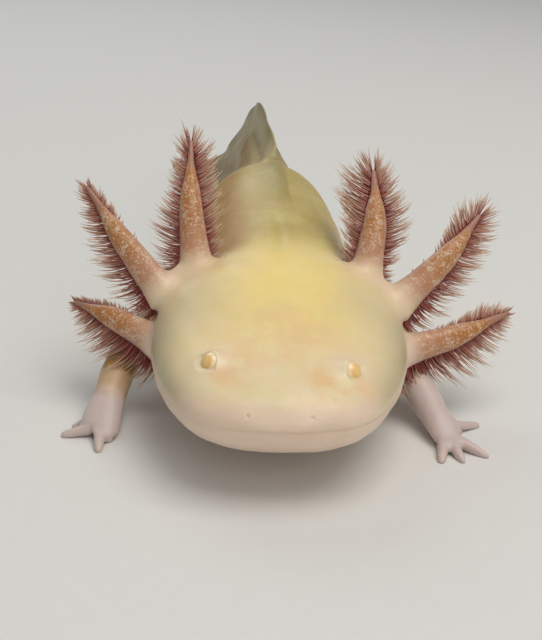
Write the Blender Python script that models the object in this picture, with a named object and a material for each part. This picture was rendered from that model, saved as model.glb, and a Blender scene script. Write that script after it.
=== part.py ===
"""A still, life-size axolotl standing on its four feet with its tail laid on the ground.

The animal looks along -Y and its left side is +X. Lengths below are in millimetres. Y runs back
from the tip of the snout and Z up from the ground; the whole model is then moved so that its
origin is at the middle of its footprint.
"""
from math import cos, pi, radians, sin

import bmesh
import bpy
import numpy as np
from mathutils import Matrix, Vector

MM = 0.001
GAP = 0.3             # clearance between solids that touch
JOINT = GAP / 2       # half of it, on each side of a parting plane
SIDES = {"left": 1, "right": -1}

# ---- driving dimensions of the body, each as (Y, value) ----
LENGTH = 198.0
HALF_WIDTH = ((0, 0), (3, 12.6), (7, 16), (13, 18.9), (20, 21), (28, 22.2), (34, 22), (39, 20.4),
              (44, 17.4), (50, 15.4), (58, 15.1), (68, 14.9), (80, 14.2), (94, 12.6), (106, 10),
              (116, 7.6), (128, 5.8), (140, 4.5), (155, 3.3), (170, 2.4), (185, 1.6), (LENGTH, 0))
MIDLINE = ((0, 13.8), (14, 13.8), (28, 14.2), (38, 15.2), (48, 17), (60, 18.5), (80, 20), (95, 18.3),
           (108, 17.4), (120, 19), (130, 20.6), (140, 19.2), (150, 15.5), (161, 10.8), (170, 7.4),
           (180, 5.3), (190, 4), (LENGTH, 2.8))
RISE = ((0, 0), (3, 4.3), (7, 5.8), (12, 7), (20, 9.3), (28, 11.6), (36, 12.9), (45, 12.2), (55, 12.6),
        (66, 13.3), (76, 13.9), (84, 14), (95, 12.8), (108, 11), (120, 9.6), (130, 9), (140, 7.7),
        (150, 6.3), (161, 4.8), (170, 3.5), (180, 2.5), (190, 1.6), (LENGTH, 0))
DROP = ((0, 0), (3, 4.8), (6.5, 6.6), (12, 7.2), (20, 7.5), (28, 7.8), (36, 8.5), (45, 9.8), (55, 11.6),
        (66, 13.2), (80, 14.6), (95, 13), (108, 11.2), (120, 9.4), (130, 8.3), (140, 6.8), (150, 5.4),
        (161, 4), (170, 2.8), (180, 2), (190, 1.4), (LENGTH, 0))
SWAY = ((0, 0), (46, 0), (60, -1.2), (72, -2.3), (82, -2.9), (95, -3), (108, -3), (120, -3.9),
        (135, -5.8), (147, -8.4), (161, -12.6), (173, -16.7), (185, -23), (LENGTH, -32))
SQUARENESS = ((0, 2.3), (24, 2.3), (38, 2.7), (46, 2.4), (66, 1.95), (LENGTH, 1.95))   # of its sections

# ---- fins: height of the blade above the back or under the tail, and its lean from upright ----
BACK_FIN = ((58, 0.8), (66, 3.2), (76, 3.6), (86, 3.6), (96, 4.2), (108, 5.8), (118, 7), (128, 7.6),
            (140, 7.2), (150, 6), (161, 4.6), (170, 3.4), (180, 2.2), (190, 1.5), (LENGTH, 0.5))
UNDER_FIN = ((112, 0.6), (122, 1.6), (135, 3.6), (147, 4.8), (161, 5), (170, 5), (182, 4.4), (190, 2.4),
             (LENGTH, 0.6))
FIN_LEAN = ((58, 76), (72, 76), (84, 74), (91, 62), (96, 40), (108, 16), (120, 5), (135, 0),
            (LENGTH, 0))
FIN_ROOT = 0.9        # half thickness at the root and at the rim
FIN_RIM = 0.35
FIN_PART = 120.0      # where the back fin becomes the tail fin
FIN_END = LENGTH - 1.2

# ---- parting planes of the body, from the neck back ----
BODY_PARTS = (("neck", 44.5, 54, 4), ("trunk_front", 54, 80, 6), ("trunk_rear", 80, 108, 6),
              ("tail_root", 108, 134, 6), ("tail_middle", 134, 166, 6), ("tail_tip", 166, LENGTH, 7))
HEAD_END = 44.5
HEAD_RINGS = 11
SNOUT_EASE = 1.55     # crowds the head's rings towards the snout
BODY_SIDES = 24       # faces round the head, neck and trunk
TAIL_SIDES = 16       # and round the tail
TAIL_START = 108
TAIL_POINT = 1.2      # length of the tail's closing point
CLEARANCE_END = 140   # behind the last thing that is joined to the body
MOUTH_HEIGHT = 13.6
MOUTH_CORNER = 23.0

# ---- eyes: the middle of each ball ----
EYES = {"left": (10.85, 11.5, 18.9), "right": (-10.75, 12.7, 19.3)}
EYE_RADIUS = 2.0

# ---- gills: base, bend and tip of each stalk, and how far its filaments stand out above it,
# ---- below it and past its tip ----
GILLS = {
    "left_upper": ((15, 40.8, 23.3), (17.0, 47, 33.2), (17.0, 56, 40.6), (8, 8, 6.4)),
    "left_middle": ((19.6, 37.6, 19.6), (29.9, 43, 28), (36.8, 50.5, 34.2), (6, 7.6, 5.6)),
    "left_lower": ((20.2, 33.4, 13), (31.7, 37.5, 15), (42.6, 43.5, 17.6), (3, 7, 1.6)),
    "right_upper": ((-15, 40.8, 23.3), (-16.6, 47, 35), (-17.3, 57.5, 45), (6.4, 7, 6)),
    "right_middle": ((-19.6, 37.6, 20), (-28.3, 42.5, 29.4), (-36, 50.5, 37.4), (3.4, 6.6, 4)),
    "right_lower": ((-20.2, 33.4, 13.4), (-29.6, 37.5, 16.6), (-38, 43.5, 17.4), (3, 6.6, 1.6)),
}
STALK_RADIUS = ((0, 3.8), (0.1, 3.2), (0.2, 2.7), (0.35, 2.4), (0.5, 2.1), (0.62, 1.75), (0.72, 1.25),
                (0.82, 0.85), (1, 0.45))
STALK_FLATNESS = 0.85  # its thickness from front to back, as a part of its width
STALK_RINGS = 9
STALK_SIDES = 10
GILL_BACK = (0, 1, -0.35)   # the way in which the filaments lie behind a stalk
FRINGE_SPREAD = ((0, 0.45), (0.35, 0.85), (0.6, 1), (0.85, 0.85), (1, 0.6))
FRINGE_END = ((0.5, 0.42), (1, 0.1))   # past the stalk's tip: part of the reach, and spread there
FRINGE_START = 0.24
FRINGE_TEETH = 9
FRINGE_NOTCH = 0.72   # depth of the notch between two teeth, as a part of their length
FRINGE_SWEEP = 0.55   # how far a tip lies towards the stalk's tip, for each unit of its length
FRINGE_BACK = 32      # degrees that the two rows turn back from straight out
FRINGE_HALF = 0.42    # half thickness at the root
FRINGE_TIP = 0.27     # and at the tips

# ---- limbs: path from inside the body to the wrist or ankle, and radius along it ----
ARM_PATHS = {
    "left": ((9, 57, 16), (14.5, 53, 14.2), (20, 48.5, 11.6), (23.2, 42.4, 9), (25, 36, 6.9),
             (26.8, 31.2, 4.7), (28.4, 27.4, 3)),
    "right": ((-11.5, 57, 16), (-16.5, 53, 14.2), (-22.6, 48.5, 12), (-26.8, 43, 9.4), (-28.8, 36.8, 7.2),
              (-29.8, 31.6, 4.9), (-30.4, 27.8, 3.2)),
}
ARM_RADIUS = ((0, 5), (0.25, 4.2), (0.5, 3.3), (0.75, 3), (0.9, 2.8), (1, 2.6))
ELBOW = 0.5
LEG_PATH = ((6.2, 105, 15.5), (10.8, 103.2, 13.8), (13.7, 103.6, 10.8), (14.5, 106.2, 7.2),
            (14.3, 109.5, 4.2), (14.4, 111.6, 2.8))
LEG_RADIUS = ((0, 6), (0.3, 4.8), (0.55, 3.5), (0.8, 2.8), (1, 2.3))
KNEE = 0.52
LIMB_RINGS = 5
LIMB_SIDES = 12

# ---- hands and feet: middle of the palm and the tips of the digits, on the ground ----
HANDS = {
    "left": ((30.1, 23.8), ((27.9, 16.8), (31.9, 17.1), (36.5, 19.2), (36.7, 31.4))),
    "right": ((-31.1, 23.6), ((-28.8, 21.2), (-30.4, 17.4), (-37.6, 23), (-36.2, 26.2))),
}
FOOT_PALM = (15.0, 114.6)
FOOT_DIGITS = ((-25, 4.4), (3, 5.6), (28, 6.2), (54, 6), (80, 5))   # degrees back from +X, length
PALM_HEIGHT = 1.45
PALM_REACH = 1.65     # from the middle of the palm to its front
PALM_SECTIONS = ((0, 2.6, 2.3), (0.3, 2.9, 2), (0.65, 3.45, 1.75), (0.9, 2.75, 1.5), (1, 1.5, 0.9))
PALM_SIDES = 10
DIGIT_PLACES = (0, 0.35, 0.65, 0.88, 0.97, 1)
DIGIT_SIDES = 6
DIGIT_RADIUS = ((0, 1.7), (0.35, 1.35), (0.65, 1), (0.88, 0.72), (0.97, 0.55), (1, 0.35))
LAST_DIGIT_BACK = 0.75  # how far the last digit's root lies from the palm's middle towards the wrist
ROOT_SPREAD = 0.18    # how far apart the other roots are, as a share of how far the tips are
DIGIT_REST = 0.72     # height of a digit's middle line, in its radii: what lies lower is its flat sole

COLOURS = {
    "skin": (0.80, 0.66, 0.26, 0.45, "axolotl_skin"),
    "pale": (0.82, 0.70, 0.58, 0.42, "axolotl_limb"),
    "fin": (0.62, 0.52, 0.34, 0.40, "axolotl_fin"),
    "stalk": (0.74, 0.40, 0.24, 0.42, "axolotl_stalk"),
    "fringe": (0.42, 0.08, 0.07, 0.50, "axolotl_fringe"),
    "eye": (0.86, 0.46, 0.12, 0.12, "axolotl_eye"),
}


# ---------------------------------------------------------------- curves and lofts
def smooth(points, at, power=1):
    """Value at `at` on the monotone cubic through points; power 2 rounds an end that closes at 0."""
    x = np.array([p[0] for p in points], float)
    y = np.array([p[1] for p in points], float) ** power
    step = np.diff(x)
    slope = np.diff(y) / step
    tangent = np.zeros(len(x))
    rising = slope[:-1] * slope[1:] > 0
    mean = 2 * slope[:-1] * slope[1:] / np.where(rising, slope[:-1] + slope[1:], 1)
    tangent[1:-1] = np.where(rising, mean, 0)
    tangent[0] = slope[0]
    tangent[-1] = slope[-1]
    at = min(max(at, x[0]), x[-1])
    i = min(int(np.searchsorted(x, at, side="right")) - 1, len(step) - 1)
    t = (at - x[i]) / step[i]
    value = (y[i] * (1 + 2 * t) * (1 - t) ** 2 + tangent[i] * step[i] * t * (1 - t) ** 2
             + y[i + 1] * t * t * (3 - 2 * t) + tangent[i + 1] * step[i] * t * t * (t - 1))
    return float(max(value, 0) ** (1 / power)) if power > 1 else float(value)


def path_point(points, t):
    """Point at t, from 0 to 1, on a smooth curve through the given points."""
    points = [Vector(p) for p in points]
    padded = [2 * points[0] - points[1], *points, 2 * points[-1] - points[-2]]
    span = min(max(t, 0), 1) * (len(points) - 1)
    i = min(int(span), len(points) - 2)
    a, b, c, d = padded[i:i + 4]
    u = span - i
    return 0.5 * ((2 * b) + (c - a) * u + (2 * a - 5 * b + 4 * c - d) * u ** 2
                  + (3 * b - a - 3 * c + d) * u ** 3)


def path_direction(points, t):
    """Unit direction of that curve at t."""
    step = 0.01
    return (path_point(points, t + step) - path_point(points, t - step)).normalized()


def paint(name):
    """The named colour as a Principled material."""
    red, green, blue, roughness, label = COLOURS[name]
    material = bpy.data.materials.get(label) or bpy.data.materials.new(label)
    material.use_nodes = True
    shader = material.node_tree.nodes["Principled BSDF"]
    shader.inputs["Base Color"].default_value = (red, green, blue, 1)
    shader.inputs["Roughness"].default_value = roughness
    shader.inputs["Metallic"].default_value = 0
    material.diffuse_color = (red, green, blue, 1)
    return material


def loft(name, rings, colour, collection):
    """A closed solid through rings of points; a ring of one point is a pole."""
    mesh = bpy.data.meshes.new(name)
    bm = bmesh.new()
    loops = [[bm.verts.new(Vector(p) * MM) for p in ring] for ring in rings]
    for near, far in zip(loops, loops[1:]):
        count = max(len(near), len(far))
        for k in range(count):
            j = (k + 1) % count
            if len(near) == 1:
                bm.faces.new((near[0], far[j], far[k]))
            elif len(far) == 1:
                bm.faces.new((near[k], near[j], far[0]))
            else:
                bm.faces.new((near[k], near[j], far[j], far[k]))
    for end in (loops[0], loops[-1]):
        if len(end) > 1:
            bm.faces.new(end)
    bmesh.ops.recalc_face_normals(bm, faces=bm.faces)
    bm.to_mesh(mesh)
    bm.free()
    mesh.shade_smooth()
    mesh.set_sharp_from_angle(angle=radians(40))
    if colour:
        mesh.materials.append(paint(colour))
    piece = bpy.data.objects.new(name, mesh)
    collection.objects.link(piece)
    return piece


def boolean(piece, other, operation):
    """A Boolean modifier on piece; the other object only guides it."""
    modifier = piece.modifiers.new(f"{operation.lower()}_{other.name}", "BOOLEAN")
    modifier.object = other
    modifier.operation = operation
    modifier.solver = "EXACT"
    other.hide_render = True
    other.display_type = "WIRE"


def box(name, low, high, collection):
    """A plain block between two corners, used as a cutter."""
    bpy.ops.mesh.primitive_cube_add(size=1)
    block = bpy.context.object
    block.name = name
    for other in list(block.users_collection):
        other.objects.unlink(block)
    collection.objects.link(block)
    low, high = Vector(low) * MM, Vector(high) * MM
    block.data.transform(placement((low + high) / 2, high - low))
    return block


def placement(centre, size):
    """Matrix that scales a unit shape to size and moves it to centre."""
    return Matrix.Translation(centre) @ Matrix.Diagonal((*size, 1))


# ---------------------------------------------------------------- the body
def section(at, sides, grow=0.0):
    """Ring of points round the body at Y = at, grown outwards by grow."""
    width = smooth(HALF_WIDTH, at, 2) + grow
    rise = smooth(RISE, at, 2) + grow
    drop = smooth(DROP, at, 2) + grow
    across, up = smooth(SWAY, at), smooth(MIDLINE, at)
    power = 2 / smooth(SQUARENESS, at)
    ring = []
    for turn in turns(sides):
        c, s = cos(turn), sin(turn)
        x = width * np.sign(c) * abs(c) ** power
        z = (rise if s > 0 else drop) * np.sign(s) * abs(s) ** power
        ring.append((across + x, at, up + z))
    return ring


def turns(sides):
    """Angles of the corners of a ring, in radians."""
    return [2 * pi * k / sides for k in range(sides)]


def spaced(first, last, count, ease=1.0):
    """Count + 1 stations from first to last, crowded towards the first when ease is over 1."""
    return [first + (last - first) * (k / count) ** ease for k in range(count + 1)]


def body_stations(first, last):
    """The stations of the body's rings between two places, with both ends."""
    marks = [m for _, start, end, count in BODY_PARTS for m in spaced(start, end, count)]
    apart = 1.0
    inner = sorted({round(m, 4) for m in marks if first + apart < m < last - apart})
    return [first, *inner, last]


def body_length(name, first, last, count, parts):
    """One length of the neck, trunk or tail, parted from the next by the gap."""
    sides = BODY_SIDES if first < TAIL_START else TAIL_SIDES
    closing = last >= LENGTH
    stations = spaced(first + JOINT, last - (TAIL_POINT if closing else JOINT), count)
    rings = [section(at, sides) for at in stations]
    if closing:
        rings.append([(smooth(SWAY, last), last, smooth(MIDLINE, last))])
    loft(name, rings, "skin", parts)


def head_shape(name, collection):
    """The head from the snout to the neck, before the jaw and the sockets are cut."""
    stations = spaced(0, HEAD_END - JOINT, HEAD_RINGS, SNOUT_EASE)[1:]
    rings = [[(0, 0, smooth(MIDLINE, 0))]] + [section(at, BODY_SIDES) for at in stations]
    return loft(name, rings, "skin", collection)


def head_and_jaw(parts, cutters):
    """The skull and the lower jaw, parted along the mouth, with sockets for the eyes."""
    head = head_shape("head", parts)
    jaw = head_shape("lower_jaw", parts)
    wide, deep = 60, 30
    low = (-wide, -deep, -deep)
    mouth_cut = box("mouth_cut", low, (wide, MOUTH_CORNER + JOINT, MOUTH_HEIGHT + JOINT), cutters)
    jaw_block = box("jaw_block", low, (wide, MOUTH_CORNER - JOINT, MOUTH_HEIGHT - JOINT), cutters)
    boolean(head, mouth_cut, "DIFFERENCE")
    boolean(jaw, jaw_block, "INTERSECT")
    for side, middle in EYES.items():
        place = Vector(middle) * MM
        socket = ball(f"socket_{side}", place, (EYE_RADIUS + GAP) * MM, cutters)
        boolean(head, socket, "DIFFERENCE")
        eye = ball(f"eye_{side}", place, EYE_RADIUS * MM, parts)
        eye.data.materials.append(paint("eye"))


def ball(name, place, radius, collection):
    """A round solid, used for an eye and for its socket."""
    bpy.ops.mesh.primitive_uv_sphere_add(segments=14, ring_count=8, radius=radius, location=place)
    sphere = bpy.context.object
    sphere.name = name
    sphere.data.shade_smooth()
    for other in list(sphere.users_collection):
        other.objects.unlink(sphere)
    collection.objects.link(sphere)
    return sphere


def body_clearance(cutters):
    """The whole body grown by the gap, which trims what is joined to it."""
    stations = spaced(0, HEAD_END, HEAD_RINGS, SNOUT_EASE)[1:] + body_stations(HEAD_END, CLEARANCE_END)[1:]
    rings = [[(0, -GAP, smooth(MIDLINE, 0))]] + [section(at, BODY_SIDES, GAP) for at in stations]
    return loft("body_clearance", rings, None, cutters)


# ---------------------------------------------------------------- the fins
def blade(name, first, last, heights, side, parts):
    """A thin fin along the back (side 1) or under the tail (side -1)."""
    rings = []
    for at in body_stations(first, last):
        across, up = smooth(SWAY, at), smooth(MIDLINE, at)
        edge = smooth(RISE if side > 0 else DROP, at, 2) + GAP
        height = smooth(heights, at)
        lean = radians(smooth(FIN_LEAN, at)) if side > 0 else 0
        left, right = [], []
        for level in (0, 0.5, 1):
            half = FIN_ROOT + (FIN_RIM - FIN_ROOT) * level
            half = min(half, max(smooth(HALF_WIDTH, at, 2) / 2, FIN_RIM))
            turn = lean * level ** 0.5
            x = across + height * level * sin(turn)
            z = max(up + side * (edge + height * level * cos(turn)), 0)
            left.append((x - half * cos(turn), at, z + half * sin(turn)))
            right.append((x + half * cos(turn), at, z - (half * sin(turn) if level else 0)))
        rings.append(left + right[::-1])
    loft(name, rings, "fin", parts)


# ---------------------------------------------------------------- the gills
def stalk_frame(gill, t):
    """Middle, direction, backward and sideways unit vectors of a gill stalk at t."""
    path = GILLS[gill][:3]
    ahead = path_direction(path, t)
    back = Vector(GILL_BACK)
    back = (back - back.dot(ahead) * ahead).normalized()
    return path_point(path, t), ahead, back, ahead.cross(back)


def gill_stalk(gill, parts, clearance):
    """The tapering stalk, cut flush with the head."""
    rings = []
    for t in spaced(0, 1, STALK_RINGS):
        middle, _, back, across = stalk_frame(gill, t)
        radius = smooth(STALK_RADIUS, t)
        rings.append([middle + radius * (cos(turn) * across + STALK_FLATNESS * sin(turn) * back)
                      for turn in turns(STALK_SIDES)])
    stalk = loft(f"gill_stalk_{gill}", rings, "stalk", parts)
    boolean(stalk, clearance, "DIFFERENCE")


def fringe_stations(reach):
    """Stations of a fringe: place on the stalk, distance past its tip, and spread of the filaments."""
    stations = []
    for k, t in enumerate(spaced(FRINGE_START, 1, 2 * FRINGE_TEETH)):
        notch = 1 if k % 2 else FRINGE_NOTCH
        stations.append((t, 0, notch * smooth(FRINGE_SPREAD, (t - FRINGE_START) / (1 - FRINGE_START))))
    return stations + [(1, reach * part, spread) for part, spread in FRINGE_END]


def gill_fringe(gill, parts):
    """The two rows of filaments behind a stalk, as one thin vane with a toothed rim."""
    above, below, reach = GILLS[gill][3]
    turn = radians(FRINGE_BACK)
    side = SIDES[gill.split("_")[0]]
    rings = []
    for t, beyond, spread in fringe_stations(reach):
        middle, ahead, back, across = stalk_frame(gill, t)
        behind = STALK_FLATNESS * smooth(STALK_RADIUS, t) + GAP + FRINGE_HALF
        root = middle + ahead * beyond + back * behind
        tips = []
        for sign, length in ((side, above), (-side, below)):
            out = sign * across * cos(turn) + back * sin(turn) + ahead * FRINGE_SWEEP
            tips.append(root + out * length * spread)
        rings.append([tips[0] - back * FRINGE_TIP, root - back * FRINGE_HALF, tips[1] - back * FRINGE_TIP,
                      tips[1] + back * FRINGE_TIP, root + back * FRINGE_HALF, tips[0] + back * FRINGE_TIP])
    loft(f"gill_fringe_{gill}", rings, "fringe", parts)


# ---------------------------------------------------------------- the limbs
def limb_length(name, path, radii, span, colour, parts):
    """One length of a limb between two places on its path."""
    rings = []
    for t in spaced(*span, LIMB_RINGS):
        middle, ahead = path_point(path, t), path_direction(path, t)
        level = ahead.cross(Vector((0, 0, 1))).normalized()
        upright = level.cross(ahead)
        radius = smooth(radii, t)
        rings.append([middle + radius * (cos(turn) * level + sin(turn) * upright)
                      for turn in turns(LIMB_SIDES)])
    return loft(name, rings, colour, parts)


def path_length(path):
    """Length of a smooth path."""
    marks = [path_point(path, k / 40) for k in range(41)]
    return sum((b - a).length for a, b in zip(marks, marks[1:]))


def digit(name, start, tip, cutters):
    """One finger or toe, lying on the ground, to be joined to its palm."""
    start, end = Vector((*start, PALM_HEIGHT)), Vector((*tip, DIGIT_REST * smooth(DIGIT_RADIUS, 1)))
    ahead = (end - start).normalized()
    level = ahead.cross(Vector((0, 0, 1))).normalized()
    rings = []
    for t in DIGIT_PLACES:
        radius = smooth(DIGIT_RADIUS, t)
        middle = start.lerp(end, t)
        middle.z = radius * DIGIT_REST + (PALM_HEIGHT - DIGIT_RADIUS[0][1] * DIGIT_REST) * (1 - t) ** 1.5
        rings.append([middle + radius * (cos(turn) * level + sin(turn) * Vector((0, 0, 1)))
                      for turn in turns(DIGIT_SIDES)])
    return loft(name, rings, None, cutters)


def palm_and_digits(name, wrist, palm, tips, ground, parts, cutters):
    """A hand or foot: a flattened palm joined to its digits, with a flat sole."""
    start, direction = wrist
    middle = Vector((*palm, PALM_HEIGHT))
    mean = sum((Vector((*tip, 0)) - Vector((*palm, 0)) for tip in tips), Vector()) / len(tips)
    front = middle + mean.normalized() * PALM_REACH
    front.z = PALM_HEIGHT * DIGIT_REST
    path = (start, start.lerp(middle, 0.55) + Vector((0, 0, 0.2)), middle, front)
    rings = []
    for t, wide, high in PALM_SECTIONS:
        ahead = direction if t == 0 else path_direction(path, t)
        level = ahead.cross(Vector((0, 0, 1))).normalized()
        upright = level.cross(ahead)
        centre = path_point(path, t)
        rings.append([centre + wide * cos(turn) * level + high * sin(turn) * upright
                      for turn in turns(PALM_SIDES)])
    paw = loft(name, rings, "pale", parts)
    centre = sum((Vector(tip) for tip in tips), Vector((0, 0))) / len(tips)
    roots = [Vector(palm) + ROOT_SPREAD * (Vector(tip) - centre) for tip in tips[:-1]]
    roots.append(Vector(palm).lerp(start.xy, LAST_DIGIT_BACK))
    for k, (root, tip) in enumerate(zip(roots, tips), 1):
        boolean(paw, digit(f"{name}_digit_{k}", root, tip, cutters), "UNION")
    boolean(paw, ground, "DIFFERENCE")


def wrist_of(path):
    """Where a hand or foot starts: just past the end of the limb, in its direction."""
    direction = path_direction(path, 1)
    return path_point(path, 1) + direction * JOINT, direction


def limb(names, path, radii, bend, clearance, parts):
    """The two lengths of an arm or leg; the first is cut flush with the body."""
    step = JOINT / path_length(path)
    first = limb_length(names[0], path, radii, (0, bend - step), "skin", parts)
    boolean(first, clearance, "DIFFERENCE")
    limb_length(names[1], path, radii, (bend + step, 1 - step), "pale", parts)


def limbs(clearance, ground, parts, cutters):
    """Both arms with their hands and both legs with their feet."""
    for side, sign in SIDES.items():
        limb((f"upper_arm_{side}", f"forearm_{side}"), ARM_PATHS[side], ARM_RADIUS, ELBOW, clearance, parts)
        palm, tips = HANDS[side]
        palm_and_digits(f"hand_{side}", wrist_of(ARM_PATHS[side]), palm, tips, ground, parts, cutters)
        leg = tuple((sign * x + smooth(SWAY, y), y, z) for x, y, z in LEG_PATH)
        limb((f"thigh_{side}", f"shank_{side}"), leg, LEG_RADIUS, KNEE, clearance, parts)
        hip_shift = smooth(SWAY, FOOT_PALM[1])
        toes = [(sign * (FOOT_PALM[0] + length * cos(radians(turn))) + hip_shift,
                 FOOT_PALM[1] + length * sin(radians(turn))) for turn, length in FOOT_DIGITS]
        foot = (sign * FOOT_PALM[0] + hip_shift, FOOT_PALM[1])
        palm_and_digits(f"foot_{side}", wrist_of(leg), foot, toes, ground, parts, cutters)


# ---------------------------------------------------------------- the whole animal
def centre_on_footprint(parts):
    """Hang everything from one empty, moved so that the origin is under the middle of the model."""
    bpy.context.view_layer.update()
    graph = bpy.context.evaluated_depsgraph_get()
    low, high = Vector((1e9, 1e9, 1e9)), Vector((-1e9, -1e9, -1e9))
    for piece in parts.objects:
        shape = piece.evaluated_get(graph)
        for corner in shape.bound_box:
            point = shape.matrix_world @ Vector(corner)
            low = Vector(map(min, low, point))
            high = Vector(map(max, high, point))
    frame = bpy.data.objects.new("axolotl_frame", None)
    parts.objects.link(frame)
    for piece in bpy.data.objects:
        if piece is not frame:
            piece.parent = frame
    frame.location = (-(low.x + high.x) / 2, -(low.y + high.y) / 2, 0)


def main():
    for old in list(bpy.data.objects):
        bpy.data.objects.remove(old)
    parts = bpy.data.collections.new("axolotl")
    cutters = bpy.data.collections.new("cutters")
    bpy.context.scene.collection.children.link(parts)
    bpy.context.scene.collection.children.link(cutters)

    ground = box("ground", (-100, -100, -20), (100, 300, 0), cutters)
    clearance = body_clearance(cutters)
    head_and_jaw(parts, cutters)
    for name, first, last, count in BODY_PARTS:
        body_length(name, first, last, count, parts)
    blade("back_fin", 58, FIN_PART - JOINT, BACK_FIN, 1, parts)
    blade("tail_fin_upper", FIN_PART + JOINT, FIN_END, BACK_FIN, 1, parts)
    blade("tail_fin_lower", 112, FIN_END, UNDER_FIN, -1, parts)
    for gill in GILLS:
        gill_stalk(gill, parts, clearance)
        gill_fringe(gill, parts)
    limbs(clearance, ground, parts, cutters)
    centre_on_footprint(parts)


main()
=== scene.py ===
"""An axolotl at life size, standing on its four feet with its tail laid on the ground.

One skin stands for all of the flesh. The two eyes and the six fringes of gill filaments are
pieces of their own. Lengths are in millimetres in the animal's own frame until a piece is put in
its place: Y runs back from the tip of the snout, +X is the animal's left side and Z goes up from
the ground.
"""

import logging
from dataclasses import dataclass, field
from enum import Enum
from typing import Callable

import bpy
import numpy as np
from mathutils import Matrix, Vector


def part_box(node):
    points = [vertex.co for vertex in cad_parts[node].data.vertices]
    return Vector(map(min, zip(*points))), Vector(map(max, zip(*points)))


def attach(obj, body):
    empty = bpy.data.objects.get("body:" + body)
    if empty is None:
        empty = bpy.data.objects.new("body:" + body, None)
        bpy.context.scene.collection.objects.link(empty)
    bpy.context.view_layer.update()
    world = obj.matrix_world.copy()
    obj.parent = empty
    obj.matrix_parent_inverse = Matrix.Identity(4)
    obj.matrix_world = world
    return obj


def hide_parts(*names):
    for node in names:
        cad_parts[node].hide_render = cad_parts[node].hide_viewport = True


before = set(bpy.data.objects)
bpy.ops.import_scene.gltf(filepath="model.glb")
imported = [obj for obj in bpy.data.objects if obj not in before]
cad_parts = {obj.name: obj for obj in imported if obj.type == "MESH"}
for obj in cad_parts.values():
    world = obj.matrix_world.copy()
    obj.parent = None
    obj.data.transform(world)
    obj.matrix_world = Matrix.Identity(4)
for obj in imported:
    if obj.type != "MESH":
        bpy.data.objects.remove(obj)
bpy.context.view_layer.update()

LOG = logging.getLogger("axolotl")
MM = 0.001
UP = np.array((0.0, 0.0, 1.0))
Point = tuple[float, float, float]
Stations = tuple[tuple[float, float], ...]
Surface = Callable[[np.ndarray, np.ndarray], np.ndarray]
Value = bpy.types.NodeSocket | float | Point


class Side(Enum):
    """A side of the animal, with the sign of its X."""

    LEFT = 1
    RIGHT = -1

    @property
    def label(self) -> str:
        """The side's name in lower case."""
        return self.name.lower()


# ---------------------------------------------------------------- small mathematics
def rise_between(value: np.ndarray, low: float, high: float) -> np.ndarray:
    """Smooth step.

    Args:
        value: what drives the step.
        low: the value where it begins, which may be the larger one.
        high: the value where it ends.

    Returns:
        0 up to low, 1 from high on.
    """
    t = np.clip((value - low) / (high - low), 0, 1)
    return t * t * (3 - 2 * t)


def bell(value: np.ndarray, width: float) -> np.ndarray:
    """A hump of height 1 round value 0."""
    return np.exp(-(value / width) ** 2)


def unit(vectors: np.ndarray) -> np.ndarray:
    """The vectors at length 1."""
    return vectors / np.maximum(np.linalg.norm(vectors, axis=-1, keepdims=True), 1e-9)


@dataclass(frozen=True)
class Profile:
    """A smooth value along something: the monotone cubic through (place, value) points.

    Power 2 rounds an end that closes at 0.
    """

    points: Stations
    power: int = 1

    def __call__(self, at: np.ndarray | float) -> np.ndarray:
        """Value at each place.

        Args:
            at: places along the profile.

        Returns:
            The values there.
        """
        x = np.array([point[0] for point in self.points], float)
        y = np.array([point[1] for point in self.points], float) ** self.power
        step = np.diff(x)
        slope = np.diff(y) / step
        rising = slope[:-1] * slope[1:] > 0
        mean = 2 * slope[:-1] * slope[1:] / np.where(rising, slope[:-1] + slope[1:], 1)
        tangent = np.concatenate((slope[:1], np.where(rising, mean, 0), slope[-1:]))
        at = np.clip(at, x[0], x[-1])
        i = np.clip(np.searchsorted(x, at, side="right") - 1, 0, len(step) - 1)
        t = (at - x[i]) / step[i]
        value = (y[i] * (1 + 2 * t) * (1 - t) ** 2 + tangent[i] * step[i] * t * (1 - t) ** 2
                 + y[i + 1] * t * t * (3 - 2 * t) + tangent[i + 1] * step[i] * t * t * (t - 1))
        return np.maximum(value, 0) ** (1 / self.power) if self.power > 1 else value


@dataclass(frozen=True)
class Route:
    """A smooth path through a few points in space."""

    points: tuple[Point, ...]

    def at(self, t: np.ndarray) -> np.ndarray:
        """Places on the path.

        Args:
            t: how far along the path, from 0 to 1.

        Returns:
            The places.
        """
        p = np.array(self.points, float)
        padded = np.vstack((2 * p[0] - p[1], p, 2 * p[-1] - p[-2]))
        span = np.clip(t, 0, 1) * (len(p) - 1)
        i = np.minimum(span.astype(int), len(p) - 2)
        u = (span - i)[..., None]
        a, b, c, d = padded[i], padded[i + 1], padded[i + 2], padded[i + 3]
        return 0.5 * (2 * b + (c - a) * u + (2 * a - 5 * b + 4 * c - d) * u ** 2
                      + (3 * b - a - 3 * c + d) * u ** 3)

    def heading(self, t: np.ndarray) -> np.ndarray:
        """Unit direction of the path at t."""
        step = 0.01
        return unit(self.at(t + step) - self.at(t - step))

    def nearest(self, places: np.ndarray) -> tuple[np.ndarray, np.ndarray]:
        """Where on the path each place is nearest to it.

        Args:
            places: points in space.

        Returns:
            The nearest t, and the distance from the path there.
        """
        marks = np.linspace(0, 1, 61)
        line = self.at(marks)
        best = np.full(len(places), np.inf)
        where = np.zeros(len(places))
        for a, b, start, end in zip(line, line[1:], marks, marks[1:]):
            run = b - a
            share = np.clip((places - a) @ run / (run @ run), 0, 1)
            away = np.linalg.norm(places - a - share[:, None] * run, axis=1)
            closer = away < best
            best[closer] = away[closer]
            where[closer] = start + (end - start) * share[closer]
        return where, best


# ---------------------------------------------------------------- mesh helpers
def deselect() -> None:
    """Leave nothing selected, so that an operator acts on the new piece only."""
    bpy.ops.object.select_all(action="DESELECT")


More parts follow.
